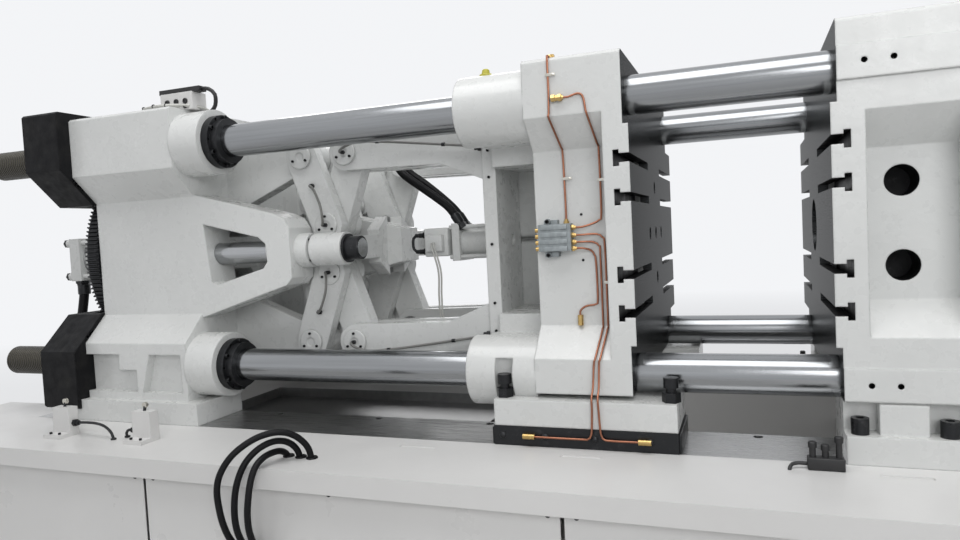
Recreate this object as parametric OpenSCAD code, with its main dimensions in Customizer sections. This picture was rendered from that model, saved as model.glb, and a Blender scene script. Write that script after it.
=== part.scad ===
// Toggle injection moulding machine of about 380 tonnes: clamping unit, bed and injection unit.
// +X runs from the clamp towards the injection unit, +Y away from the operator, +Z up.
// X = 0 is the fixed platen's face plane, half way along the bed. Z = 0 is the floor.

/* [Tie bars] */
// Diameter of a tie bar
bar_d = 110; // [90:1:125]
// Distance between tie bar centres across the machine
bar_span_y = 850; // [840:1:860]
// Distance between tie bar centres up the machine
bar_span_z = 780; // [770:1:790]
// Height of the clamp axis above the slide rails
axis_rise = 582; // [560:1:640]
// Rear end of the tie bars, behind the fixed platen's face
bar_rear = 3000; // [2900:1:3100]

/* [Platens] */
// Half the width of a platen over its side faces
platen_half = 530; // [510:1:545]
// Height of a platen's top edge above the clamp axis
platen_top = 500; // [490:1:520]
// Depth of the recess in a platen's side
side_recess = 85; // [40:1:95]
// Thickness of the fixed platen
fixed_t = 320; // [300:1:360]
// Thickness of the moving platen's front slab
moving_t = 275; // [260:1:285]
// Free space between the two mould faces, mould open
daylight = 485; // [450:1:500]
// How far the machined mould face stands proud of the corners
face_step = 15; // [8:1:20]
// Thickness of the tail platen, rear face to web
tail_t = 465; // [440:1:480]
// Rear face of the tail platen, behind the fixed platen's face
tail_rear = 2515; // [2500:1:2540]
// Width of the neck of a T-slot
slot_neck = 24; // [18:1:28]
// Width of the head of a T-slot
slot_head = 44; // [38:1:50]
// Diameter of the locating bore in the fixed platen
locating_d = 160; // [120:1:200]

/* [Toggle] */
// Length of a main link, pin to pin
link_len = 262; // [250:1:270]
// Angle of a main link below the line of its pins, mould open
link_angle = 70; // [66:0.5:71]
// Height of the main link pins above and below the axis
pin_row = 330; // [325:1:335]
// Distance from the rear pin to the small link's pin
drive_arm = 170; // [160:1:180]
// Diameter of a main toggle pin
pin_d = 70; // [60:1:76]
// Diameter of a small link pin
small_pin_d = 50; // [40:1:54]
// Diameter of a crosshead guide rod
guide_d = 78; // [70:1:84]
// Distance of a guide rod from the clamp axis
guide_y = 355; // [350:1:360]

/* [Height adjustment] */
// Teeth on the ring gear
ring_teeth = 176; // [160:1:190]
// Teeth on a tie bar nut
nut_teeth = 54; // [50:1:56]
// Teeth on the motor pinion
pinion_teeth = 18; // [16:1:20]
// Width of the gear rims
gear_w = 55; // [40:1:58]

/* [Bed] */
// Length of the bed
bed_len = 6500; // [6400:10:6800]
// Half the width of the bed over its top plates
bed_half = 895; // [880:1:910]
// Height of the slide rails above the floor
rail_h = 700; // [600:1:800]
// Width of a slide rail
rail_w = 226; // [200:1:230]

/* [Injection unit] */
// Diameter of the screw
screw_d = 65; // [55:1:70]
// Outer diameter of the barrel
barrel_d = 150; // [140:1:170]
// Length of the barrel
barrel_len = 1500; // [1400:10:1540]

/* [Hidden] */
$fn = 48;
run = 0.3;                                   // gap between curved faces that slide or turn
slip = 0.2;                                  // gap between flat faces that slide
bar_y = bar_span_y / 2;
bar_z = bar_span_z / 2;
SIDES = [-1, 1];
fixed_face = -face_step;
move_face = fixed_face - daylight;
move_plane = move_face - face_step;          // moving platen's corner plane
move_back = move_face - moving_t - face_step; // rear of the front slab
hub_end = move_back - 213;                   // end of the tie bar hubs
hub_d = bar_d + 100;
tail_x = -tail_rear;
web_x = tail_x + tail_t;                     // front of the tail platen's body
collar_x = web_x + 120;                      // front of the tail platen's bosses
collar_t = 53;
waist = platen_half - side_recess;
corner = 9;                                  // chamfer on a platen's top edges
link_c = cos(link_angle);
link_s = sin(link_angle);
rear_pin_x = move_back - 900;                // main rear pins, in the tail platen's ears
front_pin_x = rear_pin_x + 2 * link_len * link_c;
elbow_x = rear_pin_x + link_len * link_c;
elbow_z = pin_row - link_len * link_s;
drive_angle = 35;                            // between a rear link and its drive arm
arm_x = rear_pin_x + drive_arm * cos(link_angle + drive_angle);
arm_z = pin_row - drive_arm * sin(link_angle + drive_angle);
cross_pin_x = rear_pin_x + 2 * drive_arm * cos(link_angle + drive_angle);
eye_r = pin_d / 2 + 27;
small_eye_r = small_pin_d / 2 + 18;
lay_in = 150;                                // layers of the main links across the machine
lay_mid_in = 192;
lay_mid_out = 248;
lay_out = 290;
fork_t = 40;
small_in = 95;                               // layer of the small links
small_out = 145;
beam_half = 70;                              // half width of the crosshead's beam
nose_in = 300;                               // inner face of the guide brackets
nose_out = 430;
nose_x = web_x + 390;                        // end of the guide brackets
bush_x = nose_x + 50;
arm_back = elbow_x + eye_r + 8;              // rear face of the crosshead's arms
arm_t = 50;
boss_back = bush_x + 8;
rod_front = arm_back + arm_t + 58;
rod_back = tail_x + 35;
ring_dist = sqrt(bar_y * bar_y + bar_z * bar_z);
bar_angle = atan2(bar_z, bar_y);
gear_m = 2 * ring_dist / (ring_teeth + nut_teeth);
ring_r = gear_m * ring_teeth / 2;
nut_r = gear_m * nut_teeth / 2;
pinion_r = gear_m * pinion_teeth / 2;
pinion_dist = ring_r + pinion_r;
cover_r = nut_r + gear_m + 3;                // room for a nut in its cover
cover_y = bar_y + cover_r + 6;               // outer sides of the nut covers
cover_z = bar_z + cover_r + 6;
ring_in_r = ring_r - 65;
gear_x = tail_x - 5 - gear_w;                // rear face of the gears
axis_h = rail_h + axis_rise;                 // clamp axis above the floor
foot_z = -axis_rise;                         // rail level from the clamp axis
foot_half = platen_half + 30;
foot_in = foot_half - rail_w - 4;
shoe_t = 57;
bolt_y = foot_half - 38;                     // jacking bolts of the moving platen
foot_top = -450;                             // top of the moving platen's feet
rail_in = foot_half - 4 - rail_w;
rail_t = 18;
bed_x0 = -bed_len / 2;
plate_in = foot_half;
foot_pad_h = 40;
barrel_x = fixed_t + 420;
carriage_x = barrel_x + 700;

// A cylinder along X, from x0 to x1
module x_cyl(d, x0, x1, y = 0, z = 0) {
    translate([x0, y, z]) rotate([0, 90, 0]) cylinder(d = d, h = x1 - x0);
}

// A cylinder along Y, from y0 to y1
module y_cyl(d, y0, y1, x, z) {
    translate([x, y0, z]) rotate([-90, 0, 0]) cylinder(d = d, h = y1 - y0);
}

// A cylinder along Z, from z0 to z1
module z_cyl(d, z0, z1, x, y) {
    translate([x, y, z0]) cylinder(d = d, h = z1 - z0);
}

// A box given by its lowest and highest corners
module span(a, b) {
    translate(a) cube(b - a);
}

// A (Y, Z) outline drawn out along X
module along_x(x0, x1) {
    translate([x0, 0, 0]) rotate([90, 0, 90]) linear_extrude(x1 - x0) children();
}

// An (X, Z) outline drawn out along Y
module along_y(y0, y1) {
    translate([0, y1, 0]) rotate([90, 0, 0]) linear_extrude(y1 - y0) children();
}

module on_axis() {
    translate([0, 0, axis_h]) children();
}

// The child once on each side of the machine
module both_sides() {
    for (s = SIDES) scale_y(s) children();
}

module scale_y(s) {
    if (s > 0) children();
    else mirror([0, 1, 0]) children();
}

// The child once above and once below the axis
module both_rows() {
    children();
    mirror([0, 0, 1]) children();
}

module bar_bores(d, x0, x1) {
    for (sy = SIDES, sz = SIDES) x_cyl(d, x0, x1, sy * bar_y, sz * bar_z);
}

// Outline of a gear with straight-sided teeth; clear is taken off each flank
function gear_points(teeth, m, clear = 0.45) =
    let (r = m * teeth / 2, p = 360 / teeth, deg = 180 / (PI * r))
    let (root = (m * PI / 4 - clear + 0.3 * m) * deg, tip = (m * PI / 4 - clear - 0.3 * m) * deg)
    [for (i = [0:teeth - 1]) each [
        for (q = [[r - 1.1 * m, -root], [r + 0.8 * m, -tip], [r + 0.8 * m, tip], [r - 1.1 * m, root]])
            [q[0] * cos(i * p + q[1]), q[0] * sin(i * p + q[1])]]];

// Turn of a gear that meshes with the ring gear at an angle round the clamp axis
function mesh_turn(at, teeth) =
    let (p = 360 / ring_teeth, off = round(at / p) * p - at)
    at + 180 - off * ring_teeth / teeth + 180 / teeth;

module gear(teeth, x0, x1, turn) {
    along_x(x0, x1) rotate(turn) polygon(gear_points(teeth, gear_m));
}

// A round tube swept through points, as one closed mesh
function unit(v) = v / norm(v);
function tube_rings(path, r, n) =
    [for (i = [0:len(path) - 1])
        let (a = path[max(i - 1, 0)], b = path[min(i + 1, len(path) - 1)], t = unit(b - a))
        let (side = abs(t[1]) > 0.9 ? [1, 0, 0] : [0, 1, 0], u = unit(cross(side, t)), w = cross(t, u))
        [for (k = [0:n - 1]) path[i] + r * (cos(k * 360 / n) * u + sin(k * 360 / n) * w)]];
module tube(path, d, n = 8) {
    rings = tube_rings(path, d / 2, n);
    last = len(path) - 1;
    polyhedron(points = [for (ring = rings) each ring],
        faces = concat([[for (k = [0:n - 1]) k]],
            [for (i = [0:last - 1], k = [0:n - 1])
                [i * n + k, (i + 1) * n + k, (i + 1) * n + (k + 1) % n, i * n + (k + 1) % n]],
            [[for (k = [n - 1:-1:0]) last * n + k]]));
}

// Bed: two long box beams, cross members, shelves and end plates

module bed_frame() {
    beam_top = rail_h - rail_t;
    color("gainsboro") difference() {
        union() {
            both_sides() span([bed_x0 + 20, rail_in - 20, foot_pad_h],
                [-bed_x0 - 20, plate_in - 6, beam_top]);
            for (x = [bed_x0 + 20, -2300, -1150, 60, 1500, -bed_x0 - 80])
                span([x, -rail_in, foot_pad_h + 60], [x + 60, rail_in, beam_top - 90]);
            both_sides() for (x = [bed_x0 + 60, -2200, -1150, 0, 1150, 2200, -bed_x0 - 80])
                span([x, plate_in - 7, foot_pad_h], [x + 20, bed_half - 40, rail_h - 40]);
            both_sides() span([bed_x0 + 20, plate_in - 7, foot_pad_h],
                [-bed_x0 - 20, bed_half - 40, foot_pad_h + 20]);
        }
        both_sides() span([bed_x0 - 1, rail_in + 5, foot_pad_h + 40],
            [-bed_x0 + 1, plate_in - 31, beam_top - 45]);
    }
}

module bed_top_plates() {
    color("white") both_sides() difference() {
        union() {
            span([bed_x0, plate_in - 4, rail_h - 40], [-bed_x0, bed_half, rail_h]);
            span([bed_x0, bed_half - 12, rail_h - 58], [-bed_x0, bed_half, rail_h - 39]);
        }
        for (x = [-1180, -700, 60]) span([x, plate_in + 60, rail_h - 3],
            [x + 110, plate_in + 75, rail_h + 1]);
    }
}

module side_panels() {
    color("whitesmoke") both_sides() {
        for (i = [0:4]) {
            x0 = bed_x0 + 40 + i * (bed_len - 80) / 5;
            difference() {
                span([x0 + 5, bed_half - 40, foot_pad_h + 60],
                    [x0 + (bed_len - 80) / 5 - 5, bed_half - 37, rail_h - 40]);
                for (k = [0:3]) span([x0 + 300 + k * 60, bed_half - 50, 180],
                    [x0 + 330 + k * 60, bed_half - 30, 330]);
            }
        }
    }
}

module slide_rails() {
    color("silver") both_sides() difference() {
        span([bed_x0 + 500, rail_in, rail_h - rail_t], [fixed_t + 60, rail_in + rail_w, rail_h]);
        for (x = [-2600:400:-200]) z_cyl(26, rail_h - 9, rail_h + 1, x, rail_in + 24);
    }
}

module chip_tray() {
    color("dimgray") difference() {
        span([-2290, 20 - rail_in, rail_h - 108], [-1092, rail_in - 20, rail_h - 64]);
        span([-2287, 23 - rail_in, rail_h - 105], [-1095, rail_in - 23, rail_h]);
    }
}

module levelling_pads() {
    color("dimgray") both_sides() for (x = [bed_x0 + 250, -2000, -800, 400, 1700, -bed_x0 - 250]) {
        z_cyl(180, 0, 22, x, bed_half);
        z_cyl(60, 21, foot_pad_h, x, bed_half);
        span([x - 70, bed_half - 40, foot_pad_h], [x + 70, bed_half + 60, foot_pad_h + 20]);
        z_cyl(30, foot_pad_h + 19, foot_pad_h + 90, x, bed_half + 25);
        z_cyl(50, foot_pad_h + 19, foot_pad_h + 44, x, bed_half + 25);
    }
}

// Outline of a platen across the machine; the side is drawn in by a recess between z_in and its slopes
function side_points(half, top, low, slope, edge) =
    [[half, low], [half, -edge], [half - slope, -edge + slope], [half - slope, edge - slope],
        [half, edge], [half, top - corner], [half - corner, top]];
function mirrored(points) = concat(points, [for (i = [len(points) - 1:-1:0])
    [-points[i][0], points[i][1]]]);

// T-slots cut in from the near and far edges of a mould face that looks along dir
module t_slots(face, dir) {
    for (z = [-210, -105, 105, 210]) both_sides() {
        span([face - 29, 150, z - slot_neck / 2], [face + 29, platen_half + 1, z + slot_neck / 2]);
        translate([face - dir * 36, 0, z]) span([-8, 150, -slot_head / 2],
            [8, platen_half + 1, slot_head / 2]);
    }
}

module fixed_platen() {
    low = -437;
    on_axis() color("whitesmoke") difference() {
        union() {
            along_x(60, fixed_t - 50) polygon(mirrored(side_points(platen_half, platen_top, low,
                side_recess, 275)));
            for (x = [[0, 61], [fixed_t - 51, fixed_t]]) along_x(x[0], x[1])
                polygon(mirrored([[platen_half, low], [platen_half, platen_top - corner],
                    [platen_half - corner, platen_top]]));
            span([fixed_face, -platen_half, -300], [1, platen_half, 300]);
            both_sides() both_rows() span([0, platen_half - 1, 350], [fixed_t, platen_half + 8, 431]);
            both_sides() span([0, foot_in, foot_z], [fixed_t, foot_half, low + 1]);
            both_sides() span([60, foot_in - 160, foot_z + 60], [fixed_t - 60, foot_in + 1, low + 1]);
        }
        bar_bores(bar_d, -1, fixed_t + 1);
        bar_bores(bar_d + 60, fixed_t - 60, fixed_t + 1);
        x_cyl(locating_d, fixed_face - 1, 4);
        x_cyl(locating_d - 10, 3, 31);
        x_cyl(110, 0, fixed_t + 1);
        x_cyl(360, 150, fixed_t + 1);
        t_slots(fixed_face, -1);
        both_sides() {
            for (z = [-105, 105]) y_cyl(78, waist - 110, platen_half + 1, 148, z);
            for (x = [60, 122], z = [-391, 391]) y_cyl(14, platen_half - 20, platen_half + 9, x, z);
            span([-1, platen_half + 8, foot_z + 71], [fixed_t + 21, foot_half + 1, low + 2]);
            span([-1, foot_half - 62, foot_z + 71], [75, foot_half + 1, low + 2]);
            span([180, foot_half - 62, foot_z + 71], [266, foot_half + 1, low + 2]);
            for (x = [33, 223]) z_cyl(27, foot_z - 1, foot_z + 80, x, foot_half - 30);
        }
    }
}

module platen_bolts() {
    on_axis() color("#1a1a1a") both_sides() for (x = [33, 223]) difference() {
        union() {
            z_cyl(41, foot_z + 71, foot_z + 111, x, foot_half - 30);
            z_cyl(26.6, foot_z, foot_z + 72, x, foot_half - 30);
        }
        translate([x, foot_half - 30, foot_z + 95]) cylinder(d = 22, h = 20, $fn = 6);
    }
}

module locating_ring() {
    on_axis() color("silver") difference() {
        union() {
            x_cyl(locating_d - 10, 4, 31);
            x_cyl(108, 30, 70);
        }
        x_cyl(70, 3, 71);
    }
}

module tie_bar(sy, sz) {
    on_axis() color("lightgray") translate([0, sy * bar_y, sz * bar_z]) difference() {
        union() {
            x_cyl(bar_d, -bar_rear, fixed_t + 120);
            x_cyl(bar_d + 60, fixed_t - 60, fixed_t - 20);
        }
        x_cyl(24, fixed_t + 90, fixed_t + 121);
    }
}

module tie_bar_front_upper() { tie_bar(-1, 1); }
module tie_bar_front_lower() { tie_bar(-1, -1); }
module tie_bar_rear_upper() { tie_bar(1, 1); }
module tie_bar_rear_lower() { tie_bar(1, -1); }

module tie_bar_end_nuts() {
    on_axis() color("#222222") for (sy = SIDES, sz = SIDES) difference() {
        union() {
            x_cyl(bar_d + 58, fixed_t - 20, fixed_t + 1, sy * bar_y, sz * bar_z);
            x_cyl(bar_d + 80, fixed_t, fixed_t + 85, sy * bar_y, sz * bar_z);
        }
        x_cyl(bar_d, fixed_t - 21, fixed_t + 86, sy * bar_y, sz * bar_z);
        for (a = [0:60:300]) translate([0, sy * bar_y, sz * bar_z]) rotate([a, 0, 0])
            x_cyl(16, fixed_t + 40, fixed_t + 86, 0, bar_d / 2 + 28);
    }
}

module limit_switches() {
    color("gainsboro") for (x = [-2430, -2080]) difference() {
        union() {
            span([x, -bed_half + 150, rail_h], [x + 75, -bed_half + 185, rail_h + 95]);
            span([x, -bed_half + 110, rail_h], [x + 75, -bed_half + 151, rail_h + 12]);
        }
        for (k = [18, 57]) z_cyl(9, rail_h - 1, rail_h + 13, x + k, -bed_half + 125);
    }
}

// Three hydraulic hoses that leave the top plate, arch over its edge and enter the side panel
HOSE_ROUTE = [[0, 195, 0.3], [0, 195, 50], [-14, 192, 112], [-58, 178, 168], [-118, 150, 196],
    [-186, 112, 196],
    [-246, 68, 168], [-292, 22, 118], [-318, -22, 48], [-326, -48, -30], [-324, -54, -110],
        [-318, -44, -190],
    [-314, -14, -262], [-312, 12, -280], [-312, 36.4, -280]];

module bed_hoses() {
    color("#181818") for (i = [0:2]) {
        f = 1 - i * 0.25;
        route = [for (p = HOSE_ROUTE) [-1435 - i * 34 + p[0] * f, p[1] - bed_half, rail_h + p[2] * (p[2]
            > 0 ? f : 1)]];
        tube(route, 26, 10);
    }
    color("#303030") for (i = [0:2]) {
        z_cyl(42, rail_h, rail_h + 16, -1435 - i * 34, 195 - bed_half);
    }
}

// Tail platen with its guide brackets and toggle ears

module tail_platen() {
    bracket = [[web_x - 20, 220], [web_x + 330, 130], [nose_x - 22, 112], [nose_x, 78], [nose_x, -92],
        [nose_x - 24, -116], [web_x + 8, -222], [web_x - 20, -232]];
    window = [[web_x + 30, 108], [web_x + 262, 52], [web_x + 290, 28], [web_x + 294, -34],
        [web_x + 276, -56],
        [web_x + 76, -108], [web_x + 52, -98]];
    on_axis() color("whitesmoke") difference() {
        union() {
            along_x(tail_x, web_x) polygon(mirrored(side_points(platen_half - 5, platen_top + 15, -437,
                95, 305)));
            both_sides() span([tail_x, 250, -506], [web_x, platen_half - 5, -436]);
            both_sides() span([tail_x - 34, foot_in, foot_z + slip], [web_x + 65, foot_half, -506]);
            bar_bores(bar_d + 115, web_x - 1, collar_x);
            both_sides() along_y(nose_in, nose_out) polygon(bracket);
            both_sides() x_cyl(150, web_x - 1, web_x + 60, guide_y, 0);
            both_sides() both_rows() difference() {
                union() {
                    along_y(lay_mid_in, lay_mid_out) polygon([[web_x - 1, pin_row + 110],
                        [web_x - 1, pin_row - 190],
                        [rear_pin_x - 30, pin_row - eye_r + 8], [rear_pin_x, pin_row],
                            [rear_pin_x - 20, pin_row + eye_r - 5]]);
                    y_cyl(2 * eye_r, lay_mid_in, lay_mid_out, rear_pin_x, pin_row);
                }
                y_cyl(pin_d, lay_mid_in - 1, lay_mid_out + 1, rear_pin_x, pin_row);
            }
        }
        bar_bores(bar_d + 2 * run, tail_x - 1, collar_x + 1);
        bar_bores(2 * nut_r + 24, tail_x - 35, tail_x);
        both_sides() span([tail_x - 35, foot_in - 1, -cover_z - 1], [tail_x, foot_half + 1, -505]);
        both_sides() along_y(nose_in - 1, nose_out + 1) polygon(window);
        both_sides() x_cyl(guide_d + 2 * run, tail_x - 1, nose_x + 1, guide_y, 0);
        x_cyl(230, tail_x - 1, web_x + 1);
        both_sides() {
            along_y(platen_half - 35, platen_half) polygon([[tail_x - 1, -345], [tail_x + 158, -345],
                [tail_x + 154, -401],
                [tail_x + 236, -401], [tail_x + 236, -480], [tail_x - 1, -480]]);
            along_y(platen_half - 35, platen_half) polygon([[tail_x + 300, -345], [tail_x + 440, -345],
                [tail_x + 440, -480], [tail_x + 262, -480]]);
            along_x(tail_x + 60, web_x - 60) polygon([[60, 200], [380, 200], [380, 300], [60, 300]]);
            along_x(tail_x + 60, web_x - 60) polygon([[60, -200], [380, -200], [380, -300], [60, -300]]);
        }
        both_rows() both_sides() span([web_x - 140, 80, 60], [web_x + 1, 270, 130]);
    }
}

module bar_collars() {
    on_axis() color("#202322") for (sy = SIDES, sz = SIDES) difference() {
        union() {
            x_cyl(bar_d + 72, collar_x, collar_x + 28, sy * bar_y, sz * bar_z);
            x_cyl(bar_d + 44, collar_x + 27, collar_x + collar_t, sy * bar_y, sz * bar_z);
        }
        x_cyl(bar_d + 2 * run, collar_x - 1, collar_x + collar_t + 1, sy * bar_y, sz * bar_z);
        for (a = [30:60:330]) translate([0, sy * bar_y, sz * bar_z]) rotate([a, 0, 0])
            x_cyl(11, collar_x + 12, collar_x + 29, 0, bar_d / 2 + 28);
    }
}

module guide_bushes() {
    on_axis() color("whitesmoke") both_sides() difference() {
        x_cyl(118, nose_x, bush_x, guide_y, 0);
        x_cyl(guide_d + 2 * run, nose_x - 1, bush_x + 1, guide_y, 0);
    }
}

module ring_rollers() {
    on_axis() color("silver") for (a = [45:90:315]) rotate([a, 0, 0]) {
        x_cyl(70, gear_x - 8, tail_x - 4, ring_in_r - 35 - run, 0);
        x_cyl(30, tail_x - 5, tail_x, ring_in_r - 35 - run, 0);
    }
}

module nut_covers() {
    on_axis() color("#151515") both_sides() both_rows() difference() {
        along_x(tail_x - 170, tail_x) polygon([[290, cover_z], [cover_y - 8, cover_z],
            [cover_y, cover_z - 8],
            [cover_y, bar_z - 60], [bar_y + 21, bar_z - 184], [296, bar_z - 184]]);
        x_cyl(2 * cover_r, tail_x - 148, tail_x + 1, bar_y, bar_z);
        x_cyl(2 * ring_r + 28, tail_x - 100, tail_x + 1);
        x_cyl(bar_d + 20, tail_x - 171, tail_x, bar_y, bar_z);
    }
}

module adjust_motor() {
    on_axis() color("slategray") difference() {
        union() {
            span([tail_x - 96, -70, pinion_dist - 55], [tail_x - 76, 70, pinion_dist + 60]);
            both_sides() span([tail_x - 77, 56, pinion_dist - 30], [tail_x, 70, platen_top + 10]);
            x_cyl(130, tail_x - 330, tail_x - 95, 0, pinion_dist);
            x_cyl(100, tail_x - 360, tail_x - 329, 0, pinion_dist);
        }
        x_cyl(30 + 2 * run, tail_x - 97, tail_x - 60, 0, pinion_dist);
    }
}

module clamp_cylinder() {
    x1 = tail_x;
    x0 = tail_x - 560;
    on_axis() color("gainsboro") difference() {
        union() {
            span([x0, -95, -95], [x0 + 60, 95, 95]);
            span([x1 - 60, -95, -95], [x1, 95, 95]);
            x_cyl(150, x0 + 59, x1 - 59);
            x_cyl(229, x1 - 1, web_x - 40);
            for (sy = SIDES, sz = SIDES) {
                x_cyl(22, x0 - 30, x1 - 30, sy * 75, sz * 75);
                x_cyl(36, x0 - 24, x0 + 1, sy * 75, sz * 75);
            }
        }
        x_cyl(120, x0 + 40, x1 - 30);
        x_cyl(80 + 2 * run, x1 - 31, web_x - 39);
    }
}

module cylinder_hoses() {
    x0 = tail_x - 530;
    color("#181818") on_axis() {
        tube([[x0, -60, -95.3], [x0, -60, -140], [x0 - 8, -72, -220], [x0 - 22, -84, -300],
            [x0 - 36, -96, -380],
            [x0 - 44, -108, -450], [x0 - 46, -116, -520], [x0 - 46, -120, foot_z - 60]], 40, 10);
        tube([[tail_x - 30, -60, -95.3], [tail_x - 30, -60, -125], [tail_x - 52, -60, -180],
            [tail_x - 84, -62, -240],
            [tail_x - 112, -66, -310], [tail_x - 128, -70, -390], [tail_x - 134, -74, -470],
                [tail_x - 136, -76, foot_z - 60]], 24, 8);
    }
}

module junction_box() {
    top = platen_top + 15;
    on_axis() {
        color("white") difference() {
            span([web_x - 110, -440, top], [web_x + 30, -370, top + 62]);
            for (x = [-80, -40, 0]) y_cyl(20, -441, -425, web_x + x, top + 30);
        }
        color("#181818") span([web_x - 118, -436, top + 61], [web_x + 60, -400, top + 78]);
    }
}

module rear_toggle_pins() {
    on_axis() color("silver") both_sides() both_rows()
        y_cyl(pin_d, lay_in, lay_out + 4, rear_pin_x, pin_row);
}

// Mould height adjustment: ring gear, four nuts on the tie bars and the motor pinion

module ring_gear() {
    on_axis() color("#1c1c1c") difference() {
        gear(ring_teeth, gear_x, gear_x + gear_w, 0);
        x_cyl(2 * ring_in_r, gear_x - 1, gear_x + gear_w + 1, $fn = 96);
    }
}

module adjust_pinion() {
    on_axis() color("gray") translate([0, 0, pinion_dist]) {
        gear(pinion_teeth, gear_x, gear_x + gear_w, mesh_turn(90, pinion_teeth));
        x_cyl(30, tail_x - 95, gear_x + 1);
    }
}

module bar_nut(sy, sz) {
    at = sy > 0 ? sz * bar_angle : 180 - sz * bar_angle;
    on_axis() color("#242424") translate([0, sy * bar_y, sz * bar_z]) difference() {
        union() {
            gear(nut_teeth, gear_x, gear_x + gear_w, mesh_turn(at, nut_teeth));
            x_cyl(bar_d + 90, tail_x - 140, tail_x - slip);
        }
        x_cyl(bar_d + 2 * run, tail_x - 141, tail_x + 1);
    }
}

module nut_front_upper() { bar_nut(-1, 1); }
module nut_front_lower() { bar_nut(-1, -1); }
module nut_rear_upper() { bar_nut(1, 1); }
module nut_rear_lower() { bar_nut(1, -1); }

// Crosshead and toggle links

module crosshead() {
    on_axis() color("whitesmoke") difference() {
        union() {
            along_y(-beam_half, beam_half) polygon([[cross_pin_x - 50, pin_row],
                [cross_pin_x - 10, pin_row + 52],
                [cross_pin_x + 40, pin_row + 30], [cross_pin_x + 120, 120], [arm_back + arm_t, 75],
                    [arm_back + arm_t + 60, 62],
                [arm_back + arm_t + 60, -62], [arm_back + arm_t, -75], [cross_pin_x + 120, -120],
                    [cross_pin_x + 40, -pin_row - 30],
                [cross_pin_x - 10, -pin_row - 52], [cross_pin_x - 50, -pin_row], [cross_pin_x - 60, 0]]);
            both_rows() y_cyl(2 * small_eye_r + 20, -beam_half, beam_half, cross_pin_x, pin_row);
            span([arm_back, -guide_y, -42], [arm_back + arm_t, guide_y, 42]);
            both_sides() along_x(arm_back, arm_back + arm_t) polygon([[60, -110], [lay_in - 20, -60],
                [lay_in - 20, 60], [60, 110]]);
            both_sides() x_cyl(112, boss_back, arm_back + arm_t, guide_y, 0);
        }
        both_rows() y_cyl(small_pin_d, -beam_half - 1, beam_half + 1, cross_pin_x, pin_row);
        both_sides() x_cyl(guide_d - 14, boss_back - 1, arm_back + arm_t + 1, guide_y, 0);
        both_sides() x_cyl(guide_d, boss_back - 1, arm_back + 12, guide_y, 0);
        x_cyl(80 + 2 * run, cross_pin_x - 61, arm_back - 40);
        both_sides() both_rows() along_y(30, beam_half + 1)
            polygon([[cross_pin_x + 10, 150], [cross_pin_x + 62, 150], [cross_pin_x + 30, 265],
                [cross_pin_x + 8, 265]]);
    }
    color("silver") on_axis() both_rows() y_cyl(small_pin_d, -small_out - 1, small_out + 1, cross_pin_x,
        pin_row);
}

module guide_rods() {
    on_axis() color("silver") both_sides() {
        x_cyl(guide_d, rod_back, arm_back + 12, guide_y, 0);
        x_cyl(guide_d - 14, arm_back + 11, rod_front, guide_y, 0);
    }
}

module guide_rod_nuts() {
    on_axis() color("#141414") both_sides() difference() {
        union() {
            x_cyl(guide_d + 2, arm_back + arm_t, rod_front - 4, guide_y, 0);
            x_cyl(guide_d + 20, arm_back + arm_t, arm_back + arm_t + 8, guide_y, 0);
        }
        x_cyl(guide_d - 14, arm_back + arm_t - 1, rod_front, guide_y, 0);
    }
}

module piston_rod() {
    on_axis() color("silver") {
        x_cyl(80, tail_x - 480, arm_back - 40 - run);
        x_cyl(119, tail_x - 510, tail_x - 450);
    }
}

// A rear link of the upper row: two fork plates, a web between them and the drive lobe
module rear_link_upper() {
    module plate() {
        hull() {
            translate([rear_pin_x, pin_row]) circle(eye_r, $fn = 32);
            translate([elbow_x, elbow_z]) circle(eye_r, $fn = 32);
        }
    }
    difference() {
        union() {
            along_y(lay_in, lay_in + fork_t) plate();
            along_y(lay_out - fork_t, lay_out) plate();
            along_y(lay_in, lay_in + fork_t) hull() {
                translate([arm_x, arm_z]) circle(small_eye_r, $fn = 32);
                translate([(rear_pin_x + elbow_x) / 2, (pin_row + elbow_z) / 2])
                    circle(eye_r - 8, $fn = 32);
            }
            translate([rear_pin_x, 0, pin_row]) rotate([0, link_angle, 0])
                span([eye_r + 12, lay_in, -38], [eye_r + 48, lay_out, 38]);
        }
        y_cyl(pin_d + 2 * run, lay_in - 1, lay_out + 1, rear_pin_x, pin_row);
        y_cyl(pin_d, lay_in - 1, lay_out + 1, elbow_x, elbow_z);
        y_cyl(small_pin_d, lay_in - 1, lay_in + fork_t + 1, arm_x, arm_z);
    }
    y_cyl(small_pin_d, small_in - 2, lay_in + fork_t, arm_x, arm_z);
}

module front_link_upper() {
    difference() {
        along_y(lay_mid_in, lay_mid_out) hull() {
            translate([front_pin_x, pin_row]) circle(eye_r - 2, $fn = 32);
            translate([elbow_x, elbow_z]) circle(eye_r - 2, $fn = 32);
        }
        y_cyl(pin_d + 2 * run, lay_mid_in - 1, lay_mid_out + 1, front_pin_x, pin_row);
        y_cyl(pin_d + 2 * run, lay_mid_in - 1, lay_mid_out + 1, elbow_x, elbow_z);
    }
}

module small_link_upper() {
    difference() {
        along_y(small_in, small_out) hull() {
            translate([arm_x, arm_z]) circle(small_eye_r, $fn = 32);
            translate([cross_pin_x, pin_row]) circle(small_eye_r, $fn = 32);
        }
        y_cyl(small_pin_d + 2 * run, small_in - 1, small_out + 1, arm_x, arm_z);
        y_cyl(small_pin_d + 2 * run, small_in - 1, small_out + 1, cross_pin_x, pin_row);
    }
}

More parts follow.
